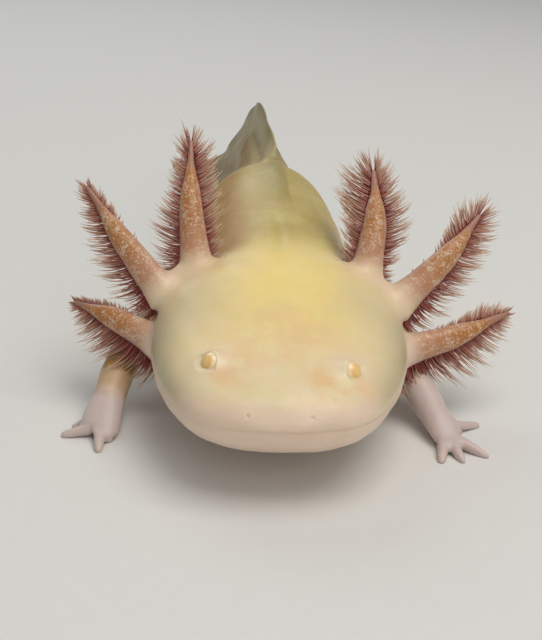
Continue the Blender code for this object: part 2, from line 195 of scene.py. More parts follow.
def read_places(piece: bpy.types.Object) -> np.ndarray:
    """The piece's points.

    Args:
        piece: a mesh object.

    Returns:
        Its points, one to a row.
    """
    places = np.zeros(len(piece.data.vertices) * 3)
    piece.data.vertices.foreach_get("co", places)
    return places.reshape(-1, 3)


def write_places(piece: bpy.types.Object, places: np.ndarray) -> None:
    """Move the piece's points."""
    piece.data.vertices.foreach_set("co", np.ascontiguousarray(places, float).ravel())
    piece.data.update()


def read_normals(piece: bpy.types.Object) -> np.ndarray:
    """The piece's outward direction at each point.

    Args:
        piece: a mesh object.

    Returns:
        The directions, one to a row.
    """
    normals = np.zeros(len(piece.data.vertices) * 3)
    piece.data.vertex_normals.foreach_get("vector", normals)
    return normals.reshape(-1, 3)


def mark(piece: bpy.types.Object, name: str, values: np.ndarray) -> None:
    """Write one number for each point, for the finish to read.

    Args:
        piece: the piece to mark.
        name: the name under which the finish finds the numbers.
        values: the numbers.
    """
    attribute = piece.data.attributes.new(name, "FLOAT", "POINT")
    attribute.data.foreach_set("value", values.astype(np.float32))


def wrapped(name: str, segments: int, rings: int, surface: Surface) -> bpy.types.Object:
    """Add a sphere and wrap it round a shape.

    Args:
        name: name of the new object.
        segments: points round the shape.
        rings: rings from its first end to its last.
        surface: place of a point that lies along (0 to 1) and at a turn (radians).

    Returns:
        The new object.
    """
    deselect()
    bpy.ops.mesh.primitive_uv_sphere_add(segments=segments, ring_count=rings, radius=1)
    piece = bpy.context.object
    piece.name = name
    ball = read_places(piece)
    along = np.arccos(np.clip(ball[:, 2], -1, 1)) / np.pi
    turn = np.arctan2(ball[:, 1], ball[:, 0])
    write_places(piece, surface(along, turn))
    return piece


def as_it_lies(along: np.ndarray, turn: np.ndarray) -> np.ndarray:
    """A surface that only keeps where its points lie along it and round it."""
    return np.column_stack((along, turn, along))


def joined(name: str, pieces: list[bpy.types.Object]) -> bpy.types.Object:
    """Join pieces into one object.

    Args:
        name: name of the joined object.
        pieces: the pieces, of which the first one takes the others in.

    Returns:
        The joined object.
    """
    deselect()
    for piece in pieces:
        piece.select_set(True)
    bpy.context.view_layer.objects.active = pieces[0]
    bpy.ops.object.join()
    pieces[0].name = name
    pieces[0].data.name = name
    return pieces[0]


def cap(along: np.ndarray, first: float, last: float) -> np.ndarray:
    """Share of full size along a shape whose two ends close round.

    Args:
        along: places along the shape, from 0 to 1.
        first: share of its length in which the first end closes.
        last: the same for the last end.

    Returns:
        The size there, 1 between the ends.
    """
    near = np.clip(along / first, 0, 1)
    far = np.clip((1 - along) / last, 0, 1)
    return np.sqrt(1 - (1 - near) ** 2) * np.sqrt(1 - (1 - far) ** 2)


def tube(name: str, route: Route, radius: Profile, segments: int, rings: int,
         ends: tuple[float, float], flat: float = 1.0, back: Point | None = None) -> bpy.types.Object:
    """A round-ended tube along a route.

    Args:
        name: name of the new object.
        route: its middle line.
        radius: its radius along the route.
        segments: points round it.
        rings: rings along it.
        ends: share of its length that closes at each end.
        flat: thickness towards back, as a share of its width.
        back: a direction that its thin side faces, or None for upwards.

    Returns:
        The new object.
    """
    def surface(along: np.ndarray, turn: np.ndarray) -> np.ndarray:
        """Place on the tube.

        Args:
            along: share of the tube's length.
            turn: angle round it.

        Returns:
            The places in space.
        """
        ahead = route.heading(along)
        guide = UP if back is None else unit(np.array(back))
        thin = unit(guide - (ahead @ guide)[:, None] * ahead)
        wide = np.cross(ahead, thin)
        size = (radius(along) * cap(along, *ends))[:, None]
        return route.at(along) + size * (np.cos(turn)[:, None] * wide + flat * np.sin(turn)[:, None] * thin)

    return wrapped(name, segments, rings, surface)


@dataclass(frozen=True)
class Place:
    """Where the animal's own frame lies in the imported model's frame."""

    origin: Vector

    @classmethod
    def from_frame(cls) -> "Place":
        """Found from the head, whose middle is at X = 0 and whose snout is at Y = 0."""
        low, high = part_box("head")
        return cls(Vector(((low.x + high.x) / 2, low.y, 0)))

    def put(self, piece: bpy.types.Object) -> bpy.types.Object:
        """Bring a finished piece to its size in metres and its place, all in its mesh."""
        piece.data.transform(Matrix.Translation(self.origin) @ Matrix.Scale(MM, 4))
        return piece

    def point(self, x: float, y: float, z: float) -> Vector:
        """A point of the animal's own frame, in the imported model's frame."""
        return self.origin + Vector((x, y, z)) * MM


# ---------------------------------------------------------------- finishes
class Graph:
    """The nodes of one finish."""

    def __init__(self, name: str) -> None:
        """Start from a plain Principled shader.

        Args:
            name: name of the finish's material.
        """
        self.material = bpy.data.materials.new(name)
        self.material.use_nodes = True
        self.tree = self.material.node_tree
        self.shader = self.tree.nodes["Principled BSDF"]
        self.object = self.node("ShaderNodeTexCoord").outputs["Object"]

    def node(self, kind: str, **settings: object) -> bpy.types.Node:
        """Add a node and set its options.

        Args:
            kind: the node's type.
            settings: options of the node, by their names.

        Returns:
            The node.
        """
        made = self.tree.nodes.new(kind)
        for key, value in settings.items():
            setattr(made, key, value)
        return made

    def feed(self, socket: bpy.types.NodeSocket, value: Value) -> None:
        """Link a socket to another node's output, or set its value.

        Args:
            socket: the socket to fill.
            value: an output, or a plain value.
        """
        if isinstance(value, bpy.types.NodeSocket):
            self.tree.links.new(value, socket)
        else:
            socket.default_value = value

    def mark(self, name: str) -> bpy.types.NodeSocket:
        """A number that was written on the piece's points."""
        return self.node("ShaderNodeAttribute", attribute_name=name).outputs["Fac"]

    def noise(self, size: float, detail: float = 3.0, roughness: float = 0.5) -> bpy.types.NodeSocket:
        """Soft noise.

        Args:
            size: size of its spots in millimetres.
            detail: finer layers.
            roughness: share of the finer layers.

        Returns:
            A value from 0 to 1.
        """
        made = self.node("ShaderNodeTexNoise")
        self.feed(made.inputs["Vector"], self.object)
        made.inputs["Scale"].default_value = 1 / (size * MM)
        made.inputs["Detail"].default_value = detail
        made.inputs["Roughness"].default_value = roughness
        return made.outputs["Fac"]

    def cells(self, size: float) -> bpy.types.NodeSocket:
        """Distance from the nearest middle in a pattern of cells.

        Args:
            size: size of a cell in millimetres.

        Returns:
            The distance, as a share of a cell.
        """
        made = self.node("ShaderNodeTexVoronoi")
        self.feed(made.inputs["Vector"], self.object)
        made.inputs["Scale"].default_value = 1 / (size * MM)
        return made.outputs["Distance"]

    def spread(self, value: Value, low: float, high: float, bottom: float = 0.0,
               top: float = 1.0) -> bpy.types.NodeSocket:
        """Smooth change from one value to another.

        Args:
            value: what drives the change.
            low: the driving value where it begins.
            high: the driving value where it ends.
            bottom: result up to low.
            top: result from high on.

        Returns:
            The result.
        """
        made = self.node("ShaderNodeMapRange", interpolation_type="SMOOTHSTEP")
        self.feed(made.inputs["Value"], value)
        for key, number in (("From Min", low), ("From Max", high), ("To Min", bottom), ("To Max", top)):
            made.inputs[key].default_value = number
        return made.outputs["Result"]

    def math(self, operation: str, first: Value, second: Value) -> bpy.types.NodeSocket:
        """Two values added or multiplied, kept between 0 and 1.

        Args:
            operation: ADD or MULTIPLY.
            first: the first value.
            second: the second one.

        Returns:
            The result.
        """
        made = self.node("ShaderNodeMath", operation=operation, use_clamp=True)
        self.feed(made.inputs[0], first)
        self.feed(made.inputs[1], second)
        return made.outputs[0]

    def blend(self, share: Value, under: Value, over: Value, mode: str = "MIX") -> bpy.types.NodeSocket:
        """Lay one colour over another.

        Args:
            share: how much of the upper colour shows, from 0 to 1.
            under: the lower colour.
            over: the upper colour.
            mode: how they meet.

        Returns:
            The colour.
        """
        made = self.node("ShaderNodeMix", data_type="RGBA", blend_type=mode)
        self.feed(made.inputs["Factor"], share)
        colours = [socket for socket in made.inputs if socket.type == "RGBA"]
        for socket, value in zip(colours, (under, over)):
            self.feed(socket, (*value, 1) if isinstance(value, tuple) else value)
        return next(socket for socket in made.outputs if socket.type == "RGBA")

    def bump(self, height: Value, depth: float,
             below: bpy.types.NodeSocket | None = None) -> bpy.types.NodeSocket:
        """Fine relief.

        Args:
            height: its height, from 0 to 1.
            depth: millimetres that a height of 1 stands for.
            below: coarser relief that it lies on.

        Returns:
            The direction of the surface.
        """
        made = self.node("ShaderNodeBump")
        made.inputs["Strength"].default_value = 1.0
        made.inputs["Distance"].default_value = depth * MM
        self.feed(made.inputs["Height"], height)
        if below is not None:
            self.feed(made.inputs["Normal"], below)
        return made.outputs["Normal"]

    def let_light_in(self, share: float, reach: Point, depth: float) -> None:
        """Make the surface translucent.

        Args:
            share: how much of it scatters light inside.
            reach: how far red, green and blue light go, against each other.
            depth: how far red light goes, in millimetres.
        """
        self.shader.inputs["Subsurface Weight"].default_value = share
        self.shader.inputs["Subsurface Radius"].default_value = reach
        self.shader.inputs["Subsurface Scale"].default_value = depth * MM

    def wet(self, share: float, roughness: float) -> None:
        """Lay a clear film of water over the surface."""
        self.shader.inputs["Coat Weight"].default_value = share
        self.shader.inputs["Coat Roughness"].default_value = roughness


@dataclass(frozen=True)
class SkinFinish:
    """Moist, slightly translucent skin of a golden albino."""

    cream: Point = (0.82, 0.69, 0.44)
    gold: Point = (0.90, 0.71, 0.26)
    # Darker green-grey for the head's sides: a green tint and painted shade where the light falls off.
    sage: Point = (0.49, 0.42, 0.26)
    lime: Point = (0.72, 0.66, 0.27)
    # Darker straw for the trunk's gold: painted shade, for light that falls off behind the head.
    straw_in_painted_shade: Point = (0.50, 0.385, 0.125)
    # Dark mustard: part skin colour, part painted shade on the right flank and the tail.
    ochre_and_painted_shade: Point = (0.38, 0.195, 0.015)
    peach: Point = (0.82, 0.56, 0.30)
    blush: Point = (0.82, 0.65, 0.54)
    # Pale greyish pink of the forearms and hands, darkened as painted shade.
    pale: Point = (0.60, 0.50, 0.475)
    flesh: Point = (0.54, 0.285, 0.175)
    margin: Point = (0.56, 0.35, 0.29)
    amber: Point = (0.44, 0.18, 0.045)
    stem: Point = (0.38, 0.20, 0.15)
    silver: Point = (0.64, 0.48, 0.35)
    # Dark fin membrane colour: painted shade.
    membrane: Point = (0.145, 0.145, 0.065)
    bloom: Point = (0.93, 0.77, 0.52)
    # Warm dark colour for the mouth's groove and the nostrils: painted shade in these creases.
    fold: Point = (0.62, 0.40, 0.27)
    mottle: Point = (0.93, 0.84, 0.62)
    roughness: float = 0.40
    shine: float = 0.40

    def make(self) -> bpy.types.Material:
        """Lay the colours over each other by the marks on the skin.

        Returns:
            The finished material.
        """
        g = Graph("axolotl_skin")
        spots = g.noise(2.6, 4.0, 0.6)
        colour = g.blend(g.mark("stalk"), self.body(g, spots), self.stalk(g, spots))
        colour = g.blend(g.mark("bloom"), colour, self.bloom)
        # Painted shade in the mouth's groove and the nostrils.
        colour = g.blend(g.mark("fold"), colour, self.fold)
        colour = g.blend(g.spread(spots, 0.25, 0.8, 0.0, 0.22), colour, self.mottle, "MULTIPLY")
        g.feed(g.shader.inputs["Base Color"], colour)
        g.feed(g.shader.inputs["Roughness"], g.spread(spots, 0.2, 0.8, self.roughness - 0.06,
                                                      self.roughness + 0.08))
        g.let_light_in(0.5, (1.0, 0.50, 0.25), 2.0)
        g.shader.inputs["Specular IOR Level"].default_value = self.shine
        g.wet(0.12, 0.25)
        grain = g.bump(g.noise(0.5, 3.0, 0.6), 0.035)
        g.feed(g.shader.inputs["Normal"], g.bump(g.spread(g.cells(0.55), 0.0, 0.32), 0.02, grain))
        return g.material

    def body(self, g: Graph, spots: bpy.types.NodeSocket) -> bpy.types.NodeSocket:
        """Colour of the head, the body, the limbs and the fins.

        Args:
            g: the finish's nodes.
            spots: noise of middling size.

        Returns:
            The colour.
        """
        gold_share = g.math("ADD", g.mark("gold"), g.spread(g.noise(8.0, 2.0), 0.3, 0.75, -0.16, 0.10))
        # Painted shade: the gold turns to darker straw over the trunk and the tail.
        gold = g.blend(g.mark("trunk"), self.gold, self.straw_in_painted_shade)
        colour = g.blend(gold_share, self.cream, gold)
        colour = g.blend(g.spread(g.noise(6.5, 3.0, 0.5), 0.50, 0.72, 0.0, 0.32), colour, self.lime)
        # Painted shade with a green tint down the sides of the head.
        colour = g.blend(g.mark("sage"), colour, self.sage)
        patches = g.spread(g.noise(5.0, 3.0, 0.55), 0.32, 0.62)
        colour = g.blend(g.math("MULTIPLY", g.mark("peach"), patches), colour, self.peach)
        uneven = g.spread(spots, 0.3, 0.7, 0.85, 1.0)
        colour = g.blend(g.math("MULTIPLY", g.mark("blush"), uneven), colour, self.blush)
        # Mustard, which is partly painted shade on the right flank behind the head and on the tail.
        colour = g.blend(g.mark("ochre_and_painted_shade"), colour, self.ochre_and_painted_shade)
        # Pale forearms and hands, darkened as painted shade.
        colour = g.blend(g.mark("pale"), colour, self.pale)
        # Fins and tail take the dark membrane colour, which is painted shade.
        return g.blend(g.mark("fin"), colour, self.membrane)

    def stalk(self, g: Graph, spots: bpy.types.NodeSocket) -> bpy.types.NodeSocket:
        """Colour of the gill stalks, with pale flecks, pink margins and a dark tip.

        Args:
            g: the finish's nodes.
            spots: noise of middling size.

        Returns:
            The colour.
        """
        colour = g.blend(g.spread(g.mark("stalk_out"), 0.15, 0.5), self.flesh, self.amber)
        uneven = g.spread(spots, 0.3, 0.6, 0.4, 1.0)
        colour = g.blend(g.math("MULTIPLY", g.mark("margin"), uneven), colour, self.margin)
        speck = g.math("ADD", g.noise(0.42, 3.0, 0.7), g.math("MULTIPLY", g.noise(1.8, 2.0), 0.5))
        fleck = g.math("MULTIPLY", g.spread(speck, 0.72, 0.92), g.mark("fleck"))
        colour = g.blend(fleck, colour, self.silver)
        frayed = g.math("ADD", g.mark("stalk_out"), g.spread(spots, 0.2, 0.8, -0.06, 0.06))
        return g.blend(g.spread(frayed, 0.70, 0.90), colour, self.stem)


@dataclass(frozen=True)
class FilamentFinish:
    """Gill filaments: dark with blood at the root, nearly clear at the tip."""

    root: Point = (0.25, 0.045, 0.038)
    crimson: Point = (0.30, 0.068, 0.053)
    middle: Point = (0.47, 0.235, 0.165)
    tip: Point = (0.66, 0.49, 0.37)
    bead: Point = (0.86, 0.60, 0.50)

    def make(self) -> bpy.types.Material:
        """Shade each filament from root to tip.

        Returns:
            The finished material.
        """
        g = Graph("axolotl_filament")
        out = g.math("ADD", g.mark("out"), g.spread(g.mark("tone"), 0.0, 1.0, -0.12, 0.12))
        middle = g.blend(g.mark("deep"), self.middle, self.crimson)
        colour = g.blend(g.spread(out, 0.02, 0.38), self.root, middle)
        colour = g.blend(g.spread(out, 0.35, 0.92), colour, self.tip)
        bead = g.noise(0.35, 2.0)
        colour = g.blend(g.spread(bead, 0.4, 0.7, 0.0, 0.25), colour, self.bead, "MULTIPLY")
        g.feed(g.shader.inputs["Base Color"], colour)
        g.feed(g.shader.inputs["Roughness"], g.spread(bead, 0.2, 0.8, 0.34, 0.48))
        g.let_light_in(0.3, (1.0, 0.4, 0.25), 0.5)
        return g.material


@dataclass(frozen=True)
class EyeFinish:
    """A wet eye: an amber pupil with a darker edge, a pale gold ring and a cream white.

    The edges are angles in radians from where the eye looks.
    """

    pupil: Point = (0.88, 0.57, 0.19)
    heart: Point = (0.90, 0.62, 0.25)
    ring: Point = (0.94, 0.73, 0.44)
    rim: Point = (0.82, 0.52, 0.20)
    white: Point = (0.92, 0.72, 0.50)
    pupil_edge: float = 0.66
    ring_edge: float = 1.22

    def make(self) -> bpy.types.Material:
        """Colour the eye by the angle from where it looks.

        Returns:
            The finished material.
        """
        g = Graph("axolotl_eye")
        out = g.mark("out")
        streak = g.noise(0.22, 3.0, 0.7)
        edge, end = self.pupil_edge, self.ring_edge
        colour = g.blend(g.spread(out, 0.1, edge), self.heart, self.pupil)
        colour = g.blend(g.spread(out, edge - 0.20, edge - 0.05), colour, self.rim)
        colour = g.blend(g.spread(out, edge - 0.08, edge + 0.12), colour, self.ring)
        colour = g.blend(g.spread(streak, 0.45, 0.65, 0.0, 0.22), colour, self.rim)
        colour = g.blend(g.spread(out, end - 0.08, end + 0.05), colour, self.white)
        g.feed(g.shader.inputs["Base Color"], colour)
        g.feed(g.shader.inputs["Roughness"], g.spread(streak, 0.2, 0.8, 0.18, 0.28))
        g.let_light_in(0.25, (1.0, 0.5, 0.3), 0.6)
        g.wet(0.6, 0.06)
        return g.material


@dataclass(frozen=True)
class FloorFinish:
    """A plain pale matt floor."""

    colour: Point = (0.74, 0.73, 0.70)
    fleck: Point = (0.60, 0.59, 0.57)

    def make(self) -> bpy.types.Material:
        """Give the floor a faint grain.

        Returns:
            The finished material.
        """
        g = Graph("studio_floor")
        grain = g.noise(3.0, 3.0)
        colour = g.blend(g.spread(grain, 0.3, 0.7, 0.0, 0.06), self.colour, self.fleck)
        g.feed(g.shader.inputs["Base Color"], colour)
        g.feed(g.shader.inputs["Roughness"], g.spread(grain, 0.3, 0.7, 0.78, 0.86))
        return g.material


# ---------------------------------------------------------------- the body
@dataclass(frozen=True)
class BodyPlan:
    """The long form of the body, from the snout to the tip of the tail."""

    length: float = 198.0
    half_width: Profile = Profile(
        ((0, 0), (3, 12.6), (7, 16), (13, 18.9), (20, 21), (28, 22.2), (34, 22), (39, 20.4), (44, 17.4),
         (50, 15.4), (58, 15.1), (68, 14.9), (80, 14.2), (94, 12.6), (106, 10), (116, 7.6), (128, 5.8),
         (140, 4.5), (155, 3.3), (170, 2.4), (185, 1.6), (198, 0)), 2)
    midline: Profile = Profile(
        ((0, 13.8), (14, 13.8), (28, 14.2), (38, 15.2), (48, 17), (60, 18.5), (80, 20), (95, 18.3),
         (108, 17.4), (120, 19), (130, 20.6), (140, 19.2), (150, 15.5), (161, 10.8), (170, 7.4),
         (180, 5.3), (190, 4), (198, 2.8)))
    rise: Profile = Profile(
        ((0, 0), (3, 4.3), (7, 5.8), (12, 7), (20, 9.3), (28, 11.6), (36, 12.9), (45, 12.2), (55, 12.6),
         (66, 13.3), (76, 13.9), (84, 14), (95, 12.8), (108, 11), (120, 9.6), (130, 9), (140, 7.7),
         (150, 6.3), (161, 4.8), (170, 3.5), (180, 2.5), (190, 1.6), (198, 0)), 2)
    drop: Profile = Profile(
        ((0, 0), (3, 4.8), (6.5, 6.6), (12, 7.2), (20, 7.5), (28, 7.8), (36, 8.5), (45, 9.8), (55, 11.6),
         (66, 13.2), (80, 14.6), (95, 13), (108, 11.2), (120, 9.4), (130, 8.3), (140, 6.8), (150, 5.4),
         (161, 4), (170, 2.8), (180, 2), (190, 1.4), (198, 0)), 2)
    sway: Profile = Profile(
        ((0, 0), (46, 0), (60, -1.2), (72, -2.3), (82, -2.9), (95, -3), (108, -3), (120, -3.9),
         (135, -5.8), (147, -8.4), (161, -12.6), (173, -16.7), (185, -23), (198, -32)))
    squareness: Profile = Profile(((0, 2.3), (24, 2.3), (38, 2.7), (46, 2.4), (66, 1.95), (198, 1.95)))
    segments: int = 128
    rings: int = 300
    snout_ease: float = 1.45

    def surface(self, along: np.ndarray, turn: np.ndarray) -> np.ndarray:
        """Place on the body's skin, before the details.

        Args:
            along: share of the rings from the snout to the tip of the tail, which lie closer at the
                snout.
            turn: angle round the section, 0 on the animal's left.

        Returns:
            The places in space.
        """
        at = self.length * along ** self.snout_ease
        power = 2 / self.squareness(at)
        c, s = np.cos(turn), np.sin(turn)
        height = np.where(s > 0, self.rise(at), self.drop(at))
        x = self.sway(at) + self.half_width(at) * np.sign(c) * np.abs(c) ** power
        z = self.midline(at) + height * np.sign(s) * np.abs(s) ** power
        return np.column_stack((x, at, z))

    def volume(self) -> bpy.types.Object:
        """The body as one closed solid."""
        return wrapped("body_volume", self.segments, self.rings, self.surface)

    def across(self, places: np.ndarray) -> np.ndarray:
        """How far out sideways each place is: 1 at the widest line of the side."""
        wide = np.maximum(self.half_width(places[:, 1]), 0.5)
        return (places[:, 0] - self.sway(places[:, 1])) / wide

    def level(self, places: np.ndarray) -> np.ndarray:
        """How high each place is.

        Args:
            places: points in space.

        Returns:
            1 at the middle of the back, -1 at the middle of the belly.
        """
        above = places[:, 2] - self.midline(places[:, 1])
        height = np.where(above > 0, self.rise(places[:, 1]), self.drop(places[:, 1]))
        return above / np.maximum(height, 0.5)

    def depth(self, places: np.ndarray) -> np.ndarray:
        """Size of the section through each place: 1 on the body's skin, more outside it."""
        power = self.squareness(places[:, 1])
        return (np.abs(self.across(places)) ** power + np.abs(self.level(places)) ** power) ** (1 / power)


@dataclass(frozen=True)
class Fin:
    """A thin fin along the back or under the tail, from first to last along the body.

    Up is 1 over the back and -1 under the tail. Lean is how far the fin lies over, in degrees.
    """

    name: str
    first: float
    last: float
    heights: Profile
    up: int
    lean: Profile = Profile(((0, 0), (1, 0)))
    root: float = 0.95
    rim: float = 0.34
    sink: float = 1.6
    wave_depth: float = 0.16
    wave_rate: float = 0.42
    segments: int = 40
    rings: int = 320

    def surface(self, plan: BodyPlan, along: np.ndarray, turn: np.ndarray) -> np.ndarray:
        """Place on the fin, whose root is sunk in the body.

        Args:
            plan: the body that carries the fin.
            along: share of the fin's length.
            turn: angle round its section, 0 at the root and pi at the rim.

        Returns:
            The places in space.
        """
        at = self.first + (self.last - self.first) * along
        ends = cap(along, 0.02, 0.02)
        edge = plan.rise(at) if self.up > 0 else plan.drop(at)
        height = (self.heights(at) + self.sink) * ends
        out = height * (1 - np.cos(turn)) / 2 - self.sink
        share = np.clip(out / np.maximum(self.heights(at), 0.1), 0, 1)
        wave = self.wave_depth * np.sin(at * self.wave_rate) * share ** 2 * rise_between(at, 100, 130)
        half = (self.root + (self.rim - self.root) * share) * ends
        half = np.minimum(half, np.maximum(plan.half_width(at) * 0.55, self.rim))
        thick = half * np.sign(np.sin(turn)) * np.abs(np.sin(turn)) ** 0.5
        turned = np.radians(self.lean(at)) * share ** 0.5
        over = np.maximum(out, 0)
        x = plan.sway(at) + over * np.sin(turned) + thick * np.cos(turned) + wave
        z = plan.midline(at) + self.up * (edge + np.minimum(out, 0) + over * np.cos(turned))
        z = z - thick * np.sin(turned)
        return np.column_stack((x, at, np.maximum(z, 0.0)))

    def volume(self, plan: BodyPlan) -> bpy.types.Object:
        """The fin as one closed solid."""
        return wrapped(self.name, self.segments, self.rings, lambda a, t: self.surface(plan, a, t))


@dataclass(frozen=True)
class Digit:
    """A finger or toe that lies on the ground.

    Its middle line is as high as rest times its radius, so that the ground presses its pad flat.
    """

    start: Point
    tip: tuple[float, float]
    radius: Profile = Profile(((0, 1.45), (0.3, 1.0), (0.6, 0.78), (0.88, 0.48), (1, 0.22)))
    rest: float = 0.72

    def route(self) -> Route:
        """The digit's middle line, which arches a little between the palm and the tip.

        Returns:
            The route.
        """
        start, end = np.array(self.start), np.array((*self.tip, 0.0))
        marks = []
        for t in (0, 0.3, 0.6, 0.85, 1):
            spot = start + (end - start) * t
            low = self.rest * float(self.radius(t))
            spot[2] = low + (self.start[2] - low) * (1 - t) ** 1.5
            marks.append(tuple(spot))
        return Route(tuple(marks))

    def volume(self, name: str) -> bpy.types.Object:
        """The digit as one closed solid."""
        return tube(name, self.route(), self.radius, 16, 28, (0.2, 0.08))


@dataclass(frozen=True)
class Limb:
    """An arm or a leg with its hand or foot.

    The palm's middle and the digits' tips are places on the ground, as X and Y.
    """

    name: str
    route: Route
    radius: Profile
    palm: tuple[float, float]
    tips: tuple[tuple[float, float], ...]
    palm_height: float = 1.45
    palm_reach: float = 0.5
    palm_width: Profile = Profile(((0, 2.5), (0.3, 2.75), (0.55, 2.95), (0.75, 2.8), (0.92, 2), (1, 1.2)))
    palm_thickness: Profile = Profile(((0, 2.4), (0.3, 2.35), (0.5, 2), (0.75, 1.6), (0.92, 1.3), (1, 0.8)))
    root_spread: float = 0.18
    last_root_back: float = 0.75

    def palm_route(self) -> Route:
        """From the wrist or ankle over the middle of the palm.

        Returns:
            The route.
        """
        start = self.route.at(np.array([0.97]))[0]
        middle = np.array((*self.palm, self.palm_height))
        mean = np.mean([np.subtract(tip, self.palm) for tip in self.tips], axis=0)
        front = middle + np.array((*(mean / np.linalg.norm(mean)) * self.palm_reach, 0))
        front[2] = self.palm_height * 0.72
        between = start + (middle - start) * 0.55 + (0, 0, 0.2)
        before = self.route.at(np.array([0.84]))[0]
        return Route(tuple(tuple(p) for p in (before, start, between, middle, front)))

    def digits(self) -> list[Digit]:
        """The fingers or toes.

        Returns:
            The digits, of which the last one's root is nearest to the wrist.
        """
        middle = np.array((*self.palm, self.palm_height))
        mean = np.mean(self.tips, axis=0)
        starts = [middle + np.array((*(self.root_spread * (np.array(tip) - mean)), 0)) for tip in self.tips]
        starts[-1] = middle + (self.route.at(np.array([1.0]))[0] - middle) * self.last_root_back
        return [Digit(tuple(start), tip) for start, tip in zip(starts, self.tips)]

    def volumes(self) -> list[bpy.types.Object]:
        """The limb as closed solids that run into each other.

        Returns:
            The solids.
        """
        palm = self.palm_route()

        def surface(along: np.ndarray, turn: np.ndarray) -> np.ndarray:
            """Place on the palm.

            Args:
                along: share of the palm's length.
                turn: angle round it.

            Returns:
                The places in space.
            """
            ahead = palm.heading(along)
            level = unit(np.cross(ahead, UP))
            upright = np.cross(level, ahead)
            size = cap(along, 0.15, 0.2)
            wide = (self.palm_width(along) * size * np.cos(turn))[:, None] * level
            high = (self.palm_thickness(along) * size * np.sin(turn))[:, None] * upright
            return palm.at(along) + wide + high

        made = [tube(self.name, self.route, self.radius, 40, 80, (0.05, 0.12)),
                wrapped(f"{self.name}_palm", 32, 56, surface)]
        made += [digit.volume(f"{self.name}_digit_{k}") for k, digit in enumerate(self.digits(), 1)]
        return made

    def stretches(self) -> list[tuple[Route, Profile, float, float]]:
        """The limb's routes, each with its radius, the mark at its start and how the mark grows."""
        made = [(self.route, self.radius, 0.0, 1.0), (self.palm_route(), self.palm_width, 0.84, 0.5)]
        return made + [(digit.route(), digit.radius, 1.3, 0.7) for digit in self.digits()]


@dataclass(frozen=True)
class Fringe:
    """The filaments of one gill, as arrays with one row for each filament."""

    t: np.ndarray
    tilt: np.ndarray
    sign: np.ndarray
    root: np.ndarray
    out: np.ndarray
    curl: np.ndarray
    length: np.ndarray
    tone: np.ndarray
    deep: np.ndarray


